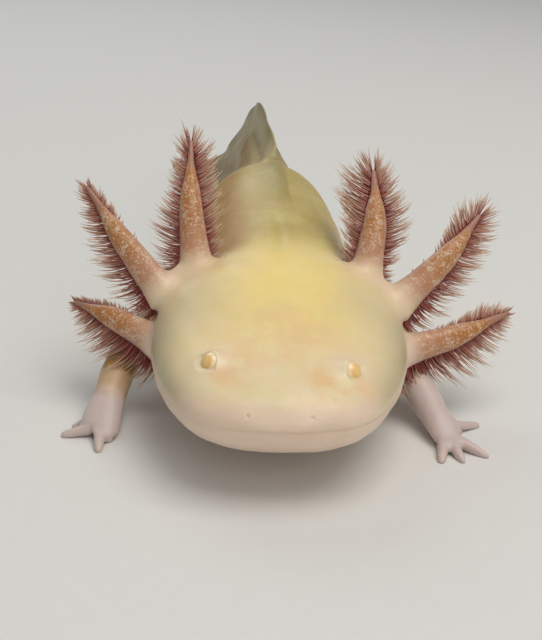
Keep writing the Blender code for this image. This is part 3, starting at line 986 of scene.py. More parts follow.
@dataclass(frozen=True)
class Gill:
    """One gill: a tapering stalk, and the filaments that stand behind it in two rows.

    The profiles above and below give the filaments' length in either row along the stalk. Up to
    bare the upper row has few filaments, and crimson is how dark they are at the root. Each layer
    is a tilt backwards in degrees, with the count of the filaments on either side.
    """

    side: Side
    row: str
    route: Route
    above: Profile
    below: Profile
    bare: float
    crimson: float
    seed: int
    radius: Profile = Profile(((0, 3.8), (0.1, 3.2), (0.2, 2.7), (0.35, 2.4), (0.5, 2.1), (0.62, 1.7),
                               (0.72, 1.15), (0.82, 0.74), (1, 0.40)))
    flat: float = 0.85
    back: Point = (0, 1, -0.35)
    first: float = 0.02
    layers: tuple[tuple[float, int], ...] = ((0, 84), (13, 80), (27, 72), (43, 62), (62, 46))
    tufts: int = 9
    tuft_depth: float = 0.09
    short_share: float = 0.25
    short_range: tuple[float, float] = (0.35, 0.70)
    full_range: tuple[float, float] = (0.78, 1.00)
    strand: Profile = Profile(((0, 0.17), (0.3, 0.135), (0.7, 0.085), (1, 0.03)))

    @property
    def name(self) -> str:
        """The gill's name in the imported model."""
        return f"{self.side.label}_{self.row}"

    def volume(self) -> bpy.types.Object:
        """The stalk as one closed solid."""
        return tube(f"stalk_{self.name}", self.route, self.radius, 36, 110, (0.05, 0.03), self.flat,
                    self.back)

    def axes(self, t: np.ndarray) -> tuple[np.ndarray, np.ndarray, np.ndarray]:
        """Directions at places on the stalk.

        Args:
            t: places along the stalk, from 0 to 1.

        Returns:
            Ahead, backwards and upwards across the stalk.
        """
        ahead = self.route.heading(t)
        guide = unit(np.array(self.back))
        back = unit(guide - (ahead @ guide)[:, None] * ahead)
        return ahead, back, np.cross(ahead, back) * self.side.value

    def spots(self, dice: np.random.Generator) -> tuple[np.ndarray, ...]:
        """Where the filaments stand on the stalk.

        Args:
            dice: the gill's own random numbers.

        Returns:
            For each filament its place along the stalk, its tilt backwards in radians, its row (1 for
            the upper, -1 for the lower) and its place in the waves that the tufts make, in radians.
        """
        t, tilt, sign, beat = [], [], [], []
        for angle, count in self.layers:
            for way in (1, -1):
                spots = (np.arange(count) + dice.uniform(0, 0.9, count)) / count
                t.append(self.first + (1 - self.first) * spots ** 1.12)
                tilt.append(np.radians(angle + dice.normal(0, 4, count)))
                sign.append(np.full(count, way))
                beat.append(2 * np.pi * self.tufts * spots + way + 0.04 * angle)
        t, tilt, sign, beat = (np.concatenate(column) for column in (t, tilt, sign, beat))
        kept = rise_between(t, self.bare - 0.2, self.bare + 0.1) + 0.08
        grown = (sign < 0) | (dice.uniform(0, 1, len(t)) < kept)
        return t[grown], tilt[grown], sign[grown], beat[grown]

    def fringe(self) -> Fringe:
        """Let the filaments grow: where each one stands, how it heads and how long it is.

        Returns:
            The filaments.
        """
        dice = np.random.default_rng(self.seed)
        t, tilt, sign, beat = self.spots(dice)
        count = len(t)
        ahead, back, across = self.axes(t)
        share = (t - self.first) / (1 - self.first)
        far = rise_between(t, 0.84, 1.0)
        length = np.where(sign > 0, self.above(t), self.below(t)) * (1 - 0.22 * tilt)
        short = dice.uniform(0, 1, count) < self.short_share
        length *= np.where(short, dice.uniform(*self.short_range, count),
                           dice.uniform(*self.full_range, count))
        length *= 1 + self.tuft_depth * np.cos(beat)
        way = (sign * np.cos(tilt))[:, None] * across
        within = way + (self.flat * np.sin(tilt))[:, None] * back
        root = self.route.at(t) + (self.radius(t) * 0.8)[:, None] * within
        lean = 0.10 + 0.7 * share ** 2 + 1.1 * far - 0.05 * np.sin(beat)
        lean -= 0.5 * rise_between(t, 0.32, 0.10) * (sign < 0)
        narrow = 1 - far * dice.uniform(0.2, 1.0, count)
        spread = way * narrow[:, None] + back * (np.sin(tilt) * (1 - 0.3 * far))[:, None]
        out = unit(spread + ahead * lean[:, None] + dice.normal(0, 0.04, (count, 3)))
        bend = (0.30 + 0.16 * (1 - share)) * (1 - 0.8 * far) - 0.05 * np.sin(beat)
        curl = ahead * bend[:, None] + dice.normal(0, 0.05, (count, 3))
        tone = dice.uniform(0, 1, count)
        return Fringe(t, tilt, sign, root, out, curl, length, tone, rise_between(t, 0.55, 0.15))

    def strands(self, fringe: Fringe, along: np.ndarray, turn: np.ndarray) -> np.ndarray:
        """Lay a copy of the pattern strand along every filament.

        Args:
            fringe: the filaments.
            along: place along the strand of each of its points, from 0 to 1.
            turn: angle round the strand of each of its points.

        Returns:
            The points of all the filaments.
        """
        s = along[None, :, None]
        line = (fringe.root[:, None, :] + fringe.length[:, None, None]
                * (fringe.out[:, None, :] * s + fringe.curl[:, None, :] * s ** 2))
        ahead = unit(fringe.out[:, None, :] + 2 * fringe.curl[:, None, :] * s)
        level = unit(np.cross(ahead, UP + np.array((0.31, 0.17, 0.0))))
        other = np.cross(ahead, level)
        thick = (self.strand(along) * cap(along, 0.02, 0.05))[None, :, None]
        places = line + thick * (np.cos(turn)[None, :, None] * level + np.sin(turn)[None, :, None] * other)
        return places.reshape(-1, 3)

    def filaments(self, place: Place, finish: bpy.types.Material) -> bpy.types.Object:
        """All the filaments of the gill as one mesh, copied from one strand.

        Args:
            place: where the animal's frame lies.
            finish: the filaments' material.

        Returns:
            The finished piece.
        """
        piece = wrapped(f"gill_filaments_{self.name}", 5, 9, as_it_lies)
        along, turn = read_places(piece)[:, :2].T
        faces = [tuple(face.vertices) for face in piece.data.polygons]
        fringe = self.fringe()
        count, size = len(fringe.t), len(along)
        mesh = bpy.data.meshes.new(piece.name)
        every = [tuple(v + k * size for v in face) for k in range(count) for face in faces]
        mesh.from_pydata(self.strands(fringe, along, turn).tolist(), [], every)
        old, piece.data = piece.data, mesh
        bpy.data.meshes.remove(old)
        deselect()
        piece.select_set(True)
        bpy.ops.object.mode_set(mode="EDIT")
        bpy.ops.mesh.select_all(action="SELECT")
        bpy.ops.mesh.normals_make_consistent(inside=False)
        bpy.ops.object.mode_set(mode="OBJECT")
        bpy.ops.object.shade_smooth()
        mark(piece, "out", np.tile(along, count))
        mark(piece, "tone", np.repeat(fringe.tone, size))
        mark(piece, "deep", np.repeat(fringe.deep * self.crimson, size))
        self.unwrap(piece, fringe, along, turn)
        piece.data.materials.append(finish)
        place.put(piece)
        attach(piece, "root")
        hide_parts(f"gill_fringe_{self.name}")
        return piece

    def unwrap(self, piece: bpy.types.Object, fringe: Fringe, along: np.ndarray,
               turn: np.ndarray) -> None:
        """Lay each filament on a small patch at its root's place on the unrolled stalk.

        Args:
            piece: the joined filaments.
            fringe: the filaments.
            along: place along the strand of each of its points.
            turn: angle round the strand of each of its points.
        """
        patch = 0.003
        margin = 0.02
        lap = (fringe.sign * (np.pi / 2 - fringe.tilt) / np.pi + 1) / 2
        u = margin + (1 - 2 * margin) * fringe.t
        v = margin + (1 - 2 * margin) * np.clip(lap, 0, 1)
        within_u = patch * (turn / (2 * np.pi) + 0.5)
        within_v = patch * along
        every = np.column_stack(((u[:, None] + within_u[None, :]).ravel(),
                                 (v[:, None] + within_v[None, :]).ravel()))
        corner = np.zeros(len(piece.data.loops), int)
        piece.data.loops.foreach_get("vertex_index", corner)
        layer = piece.data.uv_layers.new(name="OFBake")
        layer.data.foreach_set("uv", every[corner].ravel().astype(np.float32))


# ---------------------------------------------------------------- the skin
@dataclass(frozen=True)
class Lie:
    """How the skin's points lie on the body, for the marks that its finish reads.

    Level, across and depth are as the body plan gives them. On head and below mouth go from 0 to 1.
    """

    places: np.ndarray
    x: np.ndarray
    y: np.ndarray
    z: np.ndarray
    level: np.ndarray
    across: np.ndarray
    depth: np.ndarray
    on_head: np.ndarray
    below_mouth: np.ndarray

    def near(self, spot: np.ndarray, width: float) -> np.ndarray:
        """A hump of height 1 round a spot in space."""
        return bell(np.linalg.norm(self.places - spot, axis=1), width)


@dataclass(frozen=True)
class Head:
    """The details of the head, as relief on the skin and as marks for its finish.

    The opening is the angle in radians from where an eye looks to the edge of the skin round it.
    """

    left_eye: Point = (10.85, 11.5, 18.9)
    right_eye: Point = (-10.75, 12.7, 19.3)
    eye_radius: float = 2.0
    look: Point = (0.74, -0.52, 0.43)
    opening: float = 1.05
    lid: float = 0.03
    rim: float = 0.03
    nostril: Point = (5.0, 0.95, 16.0)
    mouth_height: float = 13.6
    mouth_corner: float = 23.0
    gular_fold: float = 41.0

    def eye(self, side: Side) -> np.ndarray:
        """Middle of an eyeball."""
        return np.array(self.left_eye if side is Side.LEFT else self.right_eye)

    def gaze(self, side: Side) -> np.ndarray:
        """Direction in which an eye looks."""
        return unit(np.array(self.look) * (side.value, 1, 1))

    def mouth(self, places: np.ndarray) -> np.ndarray:
        """Height above the line of the mouth, which turns up at its corners."""
        return places[:, 2] - self.mouth_height - 0.9 * rise_between(places[:, 1], 12, 25)

    def lips(self, places: np.ndarray) -> np.ndarray:
        """1 along the mouth, 0 behind its corners."""
        return rise_between(places[:, 1], self.mouth_corner + 1.5, self.mouth_corner - 3.5)

    def from_eye(self, places: np.ndarray, side: Side) -> np.ndarray:
        """Distance of each place from an eye's middle."""
        return np.linalg.norm(places - self.eye(side), axis=1)

    def from_gaze(self, places: np.ndarray, side: Side) -> np.ndarray:
        """Angle in radians at an eye's middle, between each place and where the eye looks."""
        return np.arccos(np.clip(unit(places - self.eye(side)) @ self.gaze(side), -1, 1))

    def from_nostril(self, places: np.ndarray, side: Side) -> np.ndarray:
        """Distance of each place from a nostril."""
        return np.linalg.norm(places - np.array(self.nostril) * (side.value, 1, 1), axis=1)

    def relief(self, places: np.ndarray) -> np.ndarray:
        """Depth of the head's details, outwards from the skin.

        Args:
            places: the skin's points.

        Returns:
            How far each point moves outwards.
        """
        x, y, z = places.T
        line, lips = self.mouth(places), self.lips(places)
        # The mouth's groove, the soft roll over it, the lower jaw set back and the corners' dimples.
        moved = -0.15 * bell(line, 0.24) * lips
        moved += 0.08 * bell(line - 1.0, 0.9) * lips
        moved -= 0.12 * rise_between(line, 0.05, -0.3) * rise_between(line, -5.5, -0.8) * lips
        moved -= 0.25 * bell(y - self.mouth_corner - 0.6, 1.5) * bell(line, 1.3) * (z < 18)
        # A swelling round each eye, and each nostril with its low rim.
        for side in Side:
            moved += 0.9 * bell(self.from_eye(places, side), 2.5)
            nostril = self.from_nostril(places, side)
            moved -= 0.30 * bell(nostril, 0.26)
            moved += 0.03 * bell(nostril - 0.7, 0.3)
        # The jaw muscles with the hollow between them, and the hollows behind the nostrils.
        top = z > 14
        moved += 0.5 * bell(np.abs(x) - 10, 4.5) * bell(y - 31, 8) * top
        moved -= 0.35 * bell(x, 3.2) * bell(y - 30, 10) * top
        moved -= 0.30 * bell(np.abs(x) - 7.0, 3.2) * bell(y - 7.5, 3.5) * top
        # The fold across the throat.
        under = rise_between(z, 16, 11)
        fold = y - self.gular_fold + 0.007 * x ** 2
        moved += under * (0.45 * bell(fold + 1.3, 1.1) - 0.55 * bell(fold - 0.25, 0.5))
        return moved

    def close_round_eyes(self, places: np.ndarray) -> np.ndarray:
        """Draw the skin over each eyeball as a rim, open where the eye looks out.

        Args:
            places: the skin's points.

        Returns:
            Their new places.
        """
        shell, soft = self.eye_radius + self.lid, 0.28
        moved = places.copy()
        for side in Side:
            chosen = self.from_eye(moved, side) < 3 * self.eye_radius
            near = moved[chosen]
            distance, angle = self.from_eye(near, side), self.from_gaze(near, side)
            raised = shell + soft * np.log1p(np.exp((distance - shell) / soft))
            rim = shell + self.rim * bell(angle - self.opening - 0.12, 0.16)
            raised += (rim - shell) * rise_between(distance, 2.9, 2.3)
            inside = np.minimum(distance, self.eye_radius * 0.82)
            hole = rise_between(angle, self.opening + 0.05, self.opening - 0.05)
            hole *= rise_between(distance, 3.2, 2.6)
            out = unit(near - self.eye(side))
            moved[chosen] = self.eye(side) + out * (raised * (1 - hole) + inside * hole)[:, None]
        return moved

    def crown(self, lie: Lie) -> np.ndarray:
        """Gold on top of the head, a little more to its left."""
        top = bell(lie.x, 15.5) * rise_between(lie.y, 7, 24) * rise_between(lie.level, 0.0, 0.7)
        return top + 0.35 * bell(lie.x - 5, 7) * bell(lie.y - 32, 6)

    def peach(self, lie: Lie) -> np.ndarray:
        """Peach between the eyes, on the snout, at the back corners and in front of each eye.

        Args:
            lie: how the skin's points lie on the body.

        Returns:
            The mark of the peach.
        """
        peach = 0.75 * bell(lie.x, 12) * bell(lie.y - 18, 9) * (lie.z > 16)
        peach += (bell(lie.x - 10, 5) + 0.5 * bell(lie.x + 12.3, 4)) * bell(lie.y - 5, 5) * (lie.z > 15)
        corners = 0.75 * rise_between(np.abs(lie.x), 8, 16) * bell(lie.y - 40, 7)
        peach += corners * rise_between(lie.level, 0.1, 0.6)
        for side in Side:
            peach += 0.8 * lie.near(self.eye(side) + np.array((-2.5 * side.value, -3.5, -1.0)), 4.2)
        return peach * (1 - 0.7 * lie.below_mouth)

    def blush(self, lie: Lie) -> np.ndarray:
        """Pinkish white of the snout, the chin and the belly."""
        front = rise_between(lie.y, 12, 3) * rise_between(lie.z, 19, 15.5)
        return 0.85 * np.maximum(front, lie.below_mouth) + 0.4 * rise_between(lie.level, -0.3, -0.9)

    def sage(self, lie: Lie) -> np.ndarray:
        """Painted shade with a green tint down the sides of the head.

        Args:
            lie: how the skin's points lie on the body.

        Returns:
            The mark of the green tint and painted shade.
        """
        beside = rise_between(np.abs(lie.across), 0.52, 0.95)
        sage = rise_between(lie.y, 38, 28) * beside * rise_between(lie.level, 0.95, 0.2)
        sage += 0.4 * bell(np.abs(lie.across) - 0.65, 0.3) * bell(lie.y - 29, 9) * (lie.level > 0.2)
        return 0.9 * (sage * (1 - lie.below_mouth))

    def bloom(self, lie: Lie) -> np.ndarray:
        """Pale skin beside each eye and on its rim.

        Args:
            lie: how the skin's points lie on the body.

        Returns:
            The mark of the pale skin.
        """
        bloom = np.zeros(len(lie.x))
        for side in Side:
            bloom += 0.6 * lie.near(self.eye(side) + np.array((-1.3 * side.value, -1.5, 1.0)), 1.5)
            rim = bell(self.from_gaze(lie.places, side) - self.opening - 0.16, 0.16)
            bloom += 0.5 * rim * rise_between(self.from_eye(lie.places, side), 2.8, 2.3)
        return bloom

    def fold(self, lie: Lie) -> np.ndarray:
        """Painted shade, warm in tone, in the mouth's groove and in the nostrils.

        Args:
            lie: how the skin's points lie on the body.

        Returns:
            The mark of the painted shade.
        """
        mouth = bell(self.mouth(lie.places), 0.30) * self.lips(lie.places) * (lie.z < 16.5)
        fold = 0.16 * mouth
        for side in Side:
            fold += 0.3 * bell(self.from_nostril(lie.places, side), 0.26)
        return fold


class Neighbours:
    """Which points of a mesh an edge joins, for evening the mesh out."""

    def __init__(self, mesh: bpy.types.Mesh) -> None:
        """Read the mesh's edges.

        Args:
            mesh: the mesh to even out.
        """
        ends = np.zeros(len(mesh.edges) * 2, int)
        mesh.edges.foreach_get("vertices", ends)
        self.first, self.second = ends.reshape(-1, 2).T
        self.total = len(mesh.vertices)
        self.degree = (np.bincount(self.first, minlength=self.total)
                       + np.bincount(self.second, minlength=self.total))

    def pull(self, places: np.ndarray) -> np.ndarray:
        """How far each point is from the middle of its neighbours.

        Args:
            places: the mesh's points.

        Returns:
            The way from each point to that middle.
        """
        middle = np.empty_like(places)
        for axis in range(3):
            column = places[:, axis]
            middle[:, axis] = (np.bincount(self.first, column[self.second], self.total)
                               + np.bincount(self.second, column[self.first], self.total))
        return middle / self.degree[:, None] - places

    def evened(self, places: np.ndarray, rounds: int, inwards: float, outwards: float) -> np.ndarray:
        """Take the finest steps away without shrinking the shape.

        Args:
            places: the points.
            rounds: how many times.
            inwards: share of the way to the neighbours' middle.
            outwards: share of the way back, a little more.

        Returns:
            Their new places.
        """
        for _ in range(rounds):
            places = places + inwards * self.pull(places)
            places = places - outwards * self.pull(places)
        return places


@dataclass
class Skin:
    """One skin over the head, body, fins, limbs and gill stalks.

    Each web joins the roots of two gills, given by their indices and by where on either stalk it
    ends. The fold is the front of the back fin, which lies flat over the back. A hollow as deep as
    full_hollow fills at full speed, and what is lower than the sole is pressed to the ground.
    """

    plan: BodyPlan
    head: Head
    fins: list[Fin]
    limbs: list[Limb]
    gills: list[Gill]
    webs: tuple[tuple[int, int, float, float], ...] = ((0, 1, 0.05, 0.11), (3, 4, 0.12, 0.12))
    web_radius: Profile = Profile(((0, 2.2), (0.5, 1.5), (1, 2.0)))
    fold_edge: Profile = Profile(((58, 2.7), (71, 2.8), (80, 2.9), (88, 2.6), (96, 1.4), (104, 0)))
    fold_height: Profile = Profile(((56, 0), (64, 0.4), (74, 0.9), (84, 0.9), (92, 0.5), (98, 0.2), (104, 0)))
    voxel: float = 0.32
    fine_rounds: int = 5
    fillet_rounds: int = 60
    soft_rounds: int = 160
    full_hollow: float = 0.012
    sole: float = 0.10
    triangles: int = 192_000
    piece: bpy.types.Object = field(init=False)

    def build(self) -> None:
        """Make the volumes, join them under one surface and sculpt it."""
        volumes = [self.plan.volume()]
        volumes += [fin.volume(self.plan) for fin in self.fins]
        volumes += [gill.volume() for gill in self.gills]
        volumes += [self.web(*pair) for pair in self.webs]
        for limb in self.limbs:
            volumes += limb.volumes()
        self.piece = joined("skin", volumes)
        self.piece.data.remesh_voxel_size = self.voxel
        self.piece.data.remesh_voxel_adaptivity = 0
        bpy.ops.object.voxel_remesh()
        LOG.info("skin surface: %d points", len(self.piece.data.vertices))
        self.fair()
        self.refine()
        self.sculpt()
        self.thin()
        self.stand()
        self.paint()

    def web(self, upper: int, lower: int, upper_at: float, lower_at: float) -> bpy.types.Object:
        """Flesh between the roots of two gill stalks.

        Args:
            upper: index of the upper gill.
            lower: index of the one below it.
            upper_at: where on the upper stalk it ends.
            lower_at: where on the lower stalk it ends.

        Returns:
            A closed solid.
        """
        pairs = ((upper, upper_at), (lower, lower_at))
        ends = [self.gills[gill].route.at(np.array([at]))[0] for gill, at in pairs]
        middle = (ends[0] + ends[1]) / 2
        route = Route(tuple(tuple(point) for point in (ends[0], middle, ends[1])))
        return tube(f"web_{self.gills[upper].side.label}", route, self.web_radius, 24, 24, (0.15, 0.15))

    def fair(self) -> None:
        """Take the voxels' steps away and fill the creases where parts meet with soft fillets."""
        mesh = Neighbours(self.piece.data)
        places = mesh.evened(read_places(self.piece), self.fine_rounds, 0.60, 0.62)
        places = self.filled(mesh, places, self.fillet_rounds)
        places = self.filled(mesh, places, self.soft_rounds, self.softened(places))
        write_places(self.piece, mesh.evened(places, 2, 0.50, 0.52))

    def filled(self, mesh: Neighbours, places: np.ndarray, rounds: int,
               share: np.ndarray | float = 1.0) -> np.ndarray:
        """Raise the hollows between parts, and leave all that bulges.

        Args:
            mesh: the points' neighbours.
            places: the points.
            rounds: how many times they move.
            share: how far each one may move.

        Returns:
            Their new places.
        """
        for turn in range(rounds):
            if turn % 10 == 0:
                write_places(self.piece, places)
                normals = read_normals(self.piece)
            way = mesh.pull(places)
            hollow = np.clip(np.einsum("ij,ij->i", way, normals) / self.full_hollow, 0, 1) * share
            places = places + 0.5 * hollow[:, None] * way
        return places

    def softened(self, places: np.ndarray) -> np.ndarray:
        """Where the fillets are wide.

        Args:
            places: the skin's points.

        Returns:
            1 round the roots of the gill stalks and along the tail's fins, 0 elsewhere.
        """
        share = rise_between(places[:, 1], 108, 122)
        for gill in self.gills:
            root = gill.route.at(np.array([0.08]))[0]
            share = np.maximum(share, rise_between(np.linalg.norm(places - root, axis=1), 9.5, 6.0))
        return share

    def refine(self) -> None:
        """Subdivide the skin round the eyes, the mouth and the nostrils, then again round the eyes."""
        middles = self.face_middles()
        chosen = (np.abs(self.head.mouth(middles)) < 1.3) & (middles[:, 1] < self.head.mouth_corner + 3)
        for side in Side:
            chosen |= self.head.from_eye(middles, side) < 3.2
            chosen |= self.head.from_nostril(middles, side) < 1.4
        self.subdivide(chosen)
        middles = self.face_middles()
        self.subdivide(np.any([self.head.from_eye(middles, side) < 2.7 for side in Side], axis=0))

    def face_middles(self) -> np.ndarray:
        """The middle of each of the skin's faces.

        Returns:
            The middles, one to a row.
        """
        middles = np.zeros(len(self.piece.data.polygons) * 3)
        self.piece.data.polygons.foreach_get("center", middles)
        return middles.reshape(-1, 3)

    def subdivide(self, chosen: np.ndarray) -> None:
        """Cut each chosen face in four.

        Args:
            chosen: for each face, whether to cut it.
        """
        deselect()
        self.piece.select_set(True)
        bpy.context.view_layer.objects.active = self.piece
        bpy.ops.object.mode_set(mode="EDIT")
        bpy.ops.mesh.select_mode(type="FACE")
        bpy.ops.mesh.select_all(action="DESELECT")
        bpy.ops.object.mode_set(mode="OBJECT")
        self.piece.data.polygons.foreach_set("select", chosen)
        bpy.ops.object.mode_set(mode="EDIT")
        bpy.ops.mesh.subdivide(number_cuts=1)
        bpy.ops.object.mode_set(mode="OBJECT")

    def on_body(self, places: np.ndarray) -> np.ndarray:
        """1 on the body itself, 0 on what stands out from it."""
        return rise_between(self.plan.depth(places), 1.22, 1.08)

    def relief(self, places: np.ndarray) -> np.ndarray:
        """Folds and grooves of the neck, the trunk and the tail, outwards from the skin.

        Args:
            places: the skin's points.

        Returns:
            How far each point moves outwards.
        """
        y = places[:, 1]
        level, across = self.plan.level(places), self.plan.across(places)
        from_middle = places[:, 0] - self.plan.sway(y)
        # Grooves between the ribs.
        groove = np.abs(((y - 2.2 * level) / 4.1) % 1 - 0.5) * 2
        flank = rise_between(y, 57, 63) * rise_between(y, 107, 100) * rise_between(np.abs(across), 0.45, 0.8)
        moved = -0.22 * rise_between(groove, 0.5, 1.0) * flank
        moved += 0.05 * rise_between(groove, 0.7, 0.2) * flank
        # Slanting grooves between the tail's muscles.
        chevron = np.abs(((y + 3.0 * np.abs(level)) / 3.6) % 1 - 0.5) * 2
        tail = rise_between(y, 108, 118) * rise_between(y, 186, 170)
        moved -= 0.12 * rise_between(chevron, 0.66, 1.0) * tail * rise_between(np.abs(across), 0.35, 0.7)
        # Two folds round the neck, and the furrow down the middle of the shoulders.
        neck = bell(y - 47.5, 0.55) + 0.7 * bell(y - 51.0, 0.5)
        moved -= 0.16 * neck * rise_between(level, 0.75, 0.2)
        furrow = bell(from_middle, 0.9) * rise_between(y, 42, 47) * rise_between(y, 62, 56)
        moved -= 0.18 * furrow * (level > 0)
        # The vent, a slit on a swelling.
        vent = bell(y - 112.5, 4.2) * bell(from_middle, 2.4) * rise_between(level, -0.3, -0.85)
        moved += 0.9 * vent
        moved -= 0.7 * bell(from_middle, 0.35) * bell(y - 113, 2.6) * rise_between(level, -0.3, -0.85)
        return moved * self.on_body(places) + self.fold_height(y) * self.fin_fold(places)

    def fin_fold(self, places: np.ndarray) -> np.ndarray:
        """The front of the back fin, which lies flat over the back.

        Args:
            places: the skin's points.

        Returns:
            1 at its free edge, 0 beside it.
        """
        beside = places[:, 0] - self.plan.sway(places[:, 1]) - self.fold_edge(places[:, 1])
        upper = rise_between(self.plan.level(places), 0.4, 0.7) * self.on_body(places)
        return rise_between(beside, -6.5, 0.0) ** 1.4 * rise_between(beside, 0.9, 0.1) * upper

    def ripple(self, places: np.ndarray) -> np.ndarray:
        """Soft unevenness of living skin.

        Args:
            places: the skin's points.

        Returns:
            How far each point moves outwards.
        """
        x, y, z = places.T
        broad = (np.sin(0.61 * x + 0.9 * np.sin(0.23 * y)) * np.sin(0.53 * y + 1.3)
                 + np.sin(0.71 * z + 0.4 * x + 2.1) * np.sin(0.37 * y + 0.5 * x))
        fine = np.sin(2.3 * x + 1.1 * np.sin(1.7 * z)) * np.sin(2.1 * y + 0.7) * np.sin(1.9 * z + 0.3 * y)
        return 0.05 * broad + 0.02 * fine

    def sculpt(self) -> None:
        """Move the skin along its own normals by all of the relief."""
        places = read_places(self.piece)
        normals = read_normals(self.piece)
        moved = self.relief(places) + self.ripple(places)
        moved += self.head.relief(places) * rise_between(places[:, 1], 48, 46) * self.on_body(places)
        places = self.head.close_round_eyes(places + normals * moved[:, None])
        write_places(self.piece, places)

    def thin(self) -> None:
        """Bring the skin down to no more than the set number of triangles."""
        self.piece.data.calc_loop_triangles()
        share = self.triangles / len(self.piece.data.loop_triangles)
        modifier = self.piece.modifiers.new("thin", "DECIMATE")
        modifier.ratio = min(share, 1)
        bpy.ops.object.modifier_apply(modifier=modifier.name)
        self.piece.data.calc_loop_triangles()
        LOG.info("skin: %d triangles", len(self.piece.data.loop_triangles))

    def stand(self) -> None:
        """Press the soles and the rim of the tail fin flat on the ground."""
        places = read_places(self.piece)
        places[:, 2] = np.where(places[:, 2] < self.sole, 0.0, places[:, 2])
        write_places(self.piece, places)

    def reach(self, route: Route, places: np.ndarray, margin: float) -> tuple[np.ndarray, ...]:
        """Points near a route, with their place along it and their distance from it.

        Args:
            route: the middle line of a limb or stalk.
            places: the skin's points.
            margin: the most that a point may lie outside the route's box.

        Returns:
            The points' indices, places along the route and distances.
        """
        line = route.at(np.linspace(0, 1, 30))
        inside = np.all((places > line.min(0) - margin) & (places < line.max(0) + margin), axis=1)
        chosen = np.flatnonzero(inside)
        t, away = route.nearest(places[chosen])
        return chosen, t, away

    def lie(self) -> Lie:
        """How the skin's points lie on the body.

        Returns:
            Their places and where on the body these are.
        """
        places = read_places(self.piece)
        x, y, z = places.T
        on_head = rise_between(y, 50, 42)
        below = rise_between(self.head.mouth(places), 2.0, -0.5) * on_head
        return Lie(places, x, y, z, self.plan.level(places), self.plan.across(places),
                   self.plan.depth(places), on_head, below)

    def on_stalks(self, places: np.ndarray) -> tuple[np.ndarray, np.ndarray, np.ndarray]:
        """Where the skin belongs to a gill stalk.

        Args:
            places: the skin's points.

        Returns:
            For each point whether it is on a stalk (0 to 1), its place along the stalk, and how near
            it is to the stalk's margin (0 to 1).
        """
        stalk, out, edge = (np.zeros(len(places)) for _ in range(3))
        for gill in self.gills:
            chosen, t, away = self.reach(gill.route, places, 5)
            share = rise_between(away, gill.radius(t) * 1.7 + 0.6, gill.radius(t) * 1.25 + 0.1)
            share *= rise_between(t, 0.07, 0.24)
            better = share > stalk[chosen]
            stalk[chosen[better]] = share[better]
            out[chosen[better]] = t[better]
            aside = np.einsum("ij,ij->i", places[chosen] - gill.route.at(t), gill.axes(t)[2])
            edge[chosen[better]] = rise_between(np.abs(aside) / gill.radius(t), 0.62, 1.0)[better]
        return stalk, out, edge

    def down_limbs(self, lie: Lie) -> np.ndarray:
        """How far down a limb each point is.

        Args:
            lie: how the skin's points lie on the body.

        Returns:
            0 on the body, 1 at the wrist or ankle, 2 at the tip of a digit.
        """
        arm = np.zeros(len(lie.x))
        for limb in self.limbs:
            for route, radius, start, growth in limb.stretches():
                chosen, t, away = self.reach(route, lie.places, 6)
                value = np.where(away < radius(t) * 1.5 + 0.5, start + growth * t, 0)
                arm[chosen] = np.maximum(arm[chosen], value)
        return arm * rise_between(lie.depth, 1.0, 1.12)

    def on_fins(self, lie: Lie, plain: np.ndarray, stalk: np.ndarray) -> np.ndarray:
        """Where the skin is fin, which is darkened as painted shade, 1 on the tail's.

        Args:
            lie: how the points lie on the body.
            plain: whether each point is clear of the limbs.
            stalk: whether each point is on a gill stalk.

        Returns:
            The mark of the fins and their painted shade.
        """
        off = rise_between(lie.depth, 0.95, 1.0 + 0.9 * rise_between(lie.y, 90, 125) + 0.3)
        fin = off * plain * (stalk < 0.05) * rise_between(lie.y, 50, 58)
        fin *= np.maximum(rise_between(np.abs(lie.across), 0.6, 0.4), rise_between(lie.y, 108, 116))
        # Painted shade: the fins' dark colour grows stronger towards the tail.
        fin *= 0.42 + 0.58 * rise_between(lie.y, 92, 122)
        folded = 0.38 * self.fin_fold(lie.places) ** 0.6 * rise_between(lie.y, 58, 70)
        return np.maximum(fin, folded)

    def ochre_and_painted_shade(self, lie: Lie, arm: np.ndarray, down: np.ndarray, tail: np.ndarray) -> np.ndarray:
        """Mustard, part skin colour and part painted shade, on the flanks, most on the right one, on the tail
        and as a band on each forearm.

        Args:
            lie: how the points lie on the body.
            arm: how far down a limb each point is.
            down: the same, with the right arm's colours shifted towards the hand.
            tail: share of the painted shade that darkens the tail.

        Returns:
            The mark of the mustard and painted shade.
        """
        # Painted shade on the lower flanks behind the head, much more on the right, where the gills shade it.
        flank = rise_between(lie.y, 41, 47) * rise_between(lie.level, -0.7, 0.1)
        ochre_and_painted_shade = 0.9 * flank * rise_between(-lie.across, 0.22, 0.58)
        ochre_and_painted_shade += 0.12 * flank * rise_between(lie.across, 0.5, 0.9) + 0.5 * tail
        return ochre_and_painted_shade * (1 - rise_between(down, 0.2, 0.5)) + 0.9 * bell(down - 0.52, 0.2) * (arm > 0.05)

    def blush(self, lie: Lie) -> np.ndarray:
        """Pink on the head, round the gills' roots and round the eyes.

        Args:
            lie: how the skin's points lie on the body.

        Returns:
            The mark of the pink.
        """
        blush = self.head.blush(lie)
        for gill in self.gills:
            blush += 0.55 * lie.near(gill.route.at(np.array([0.12]))[0], 5.5)
        for side in Side:
            blush += 0.35 * bell(self.head.from_eye(lie.places, side) - 2.6, 1.2)
        return blush

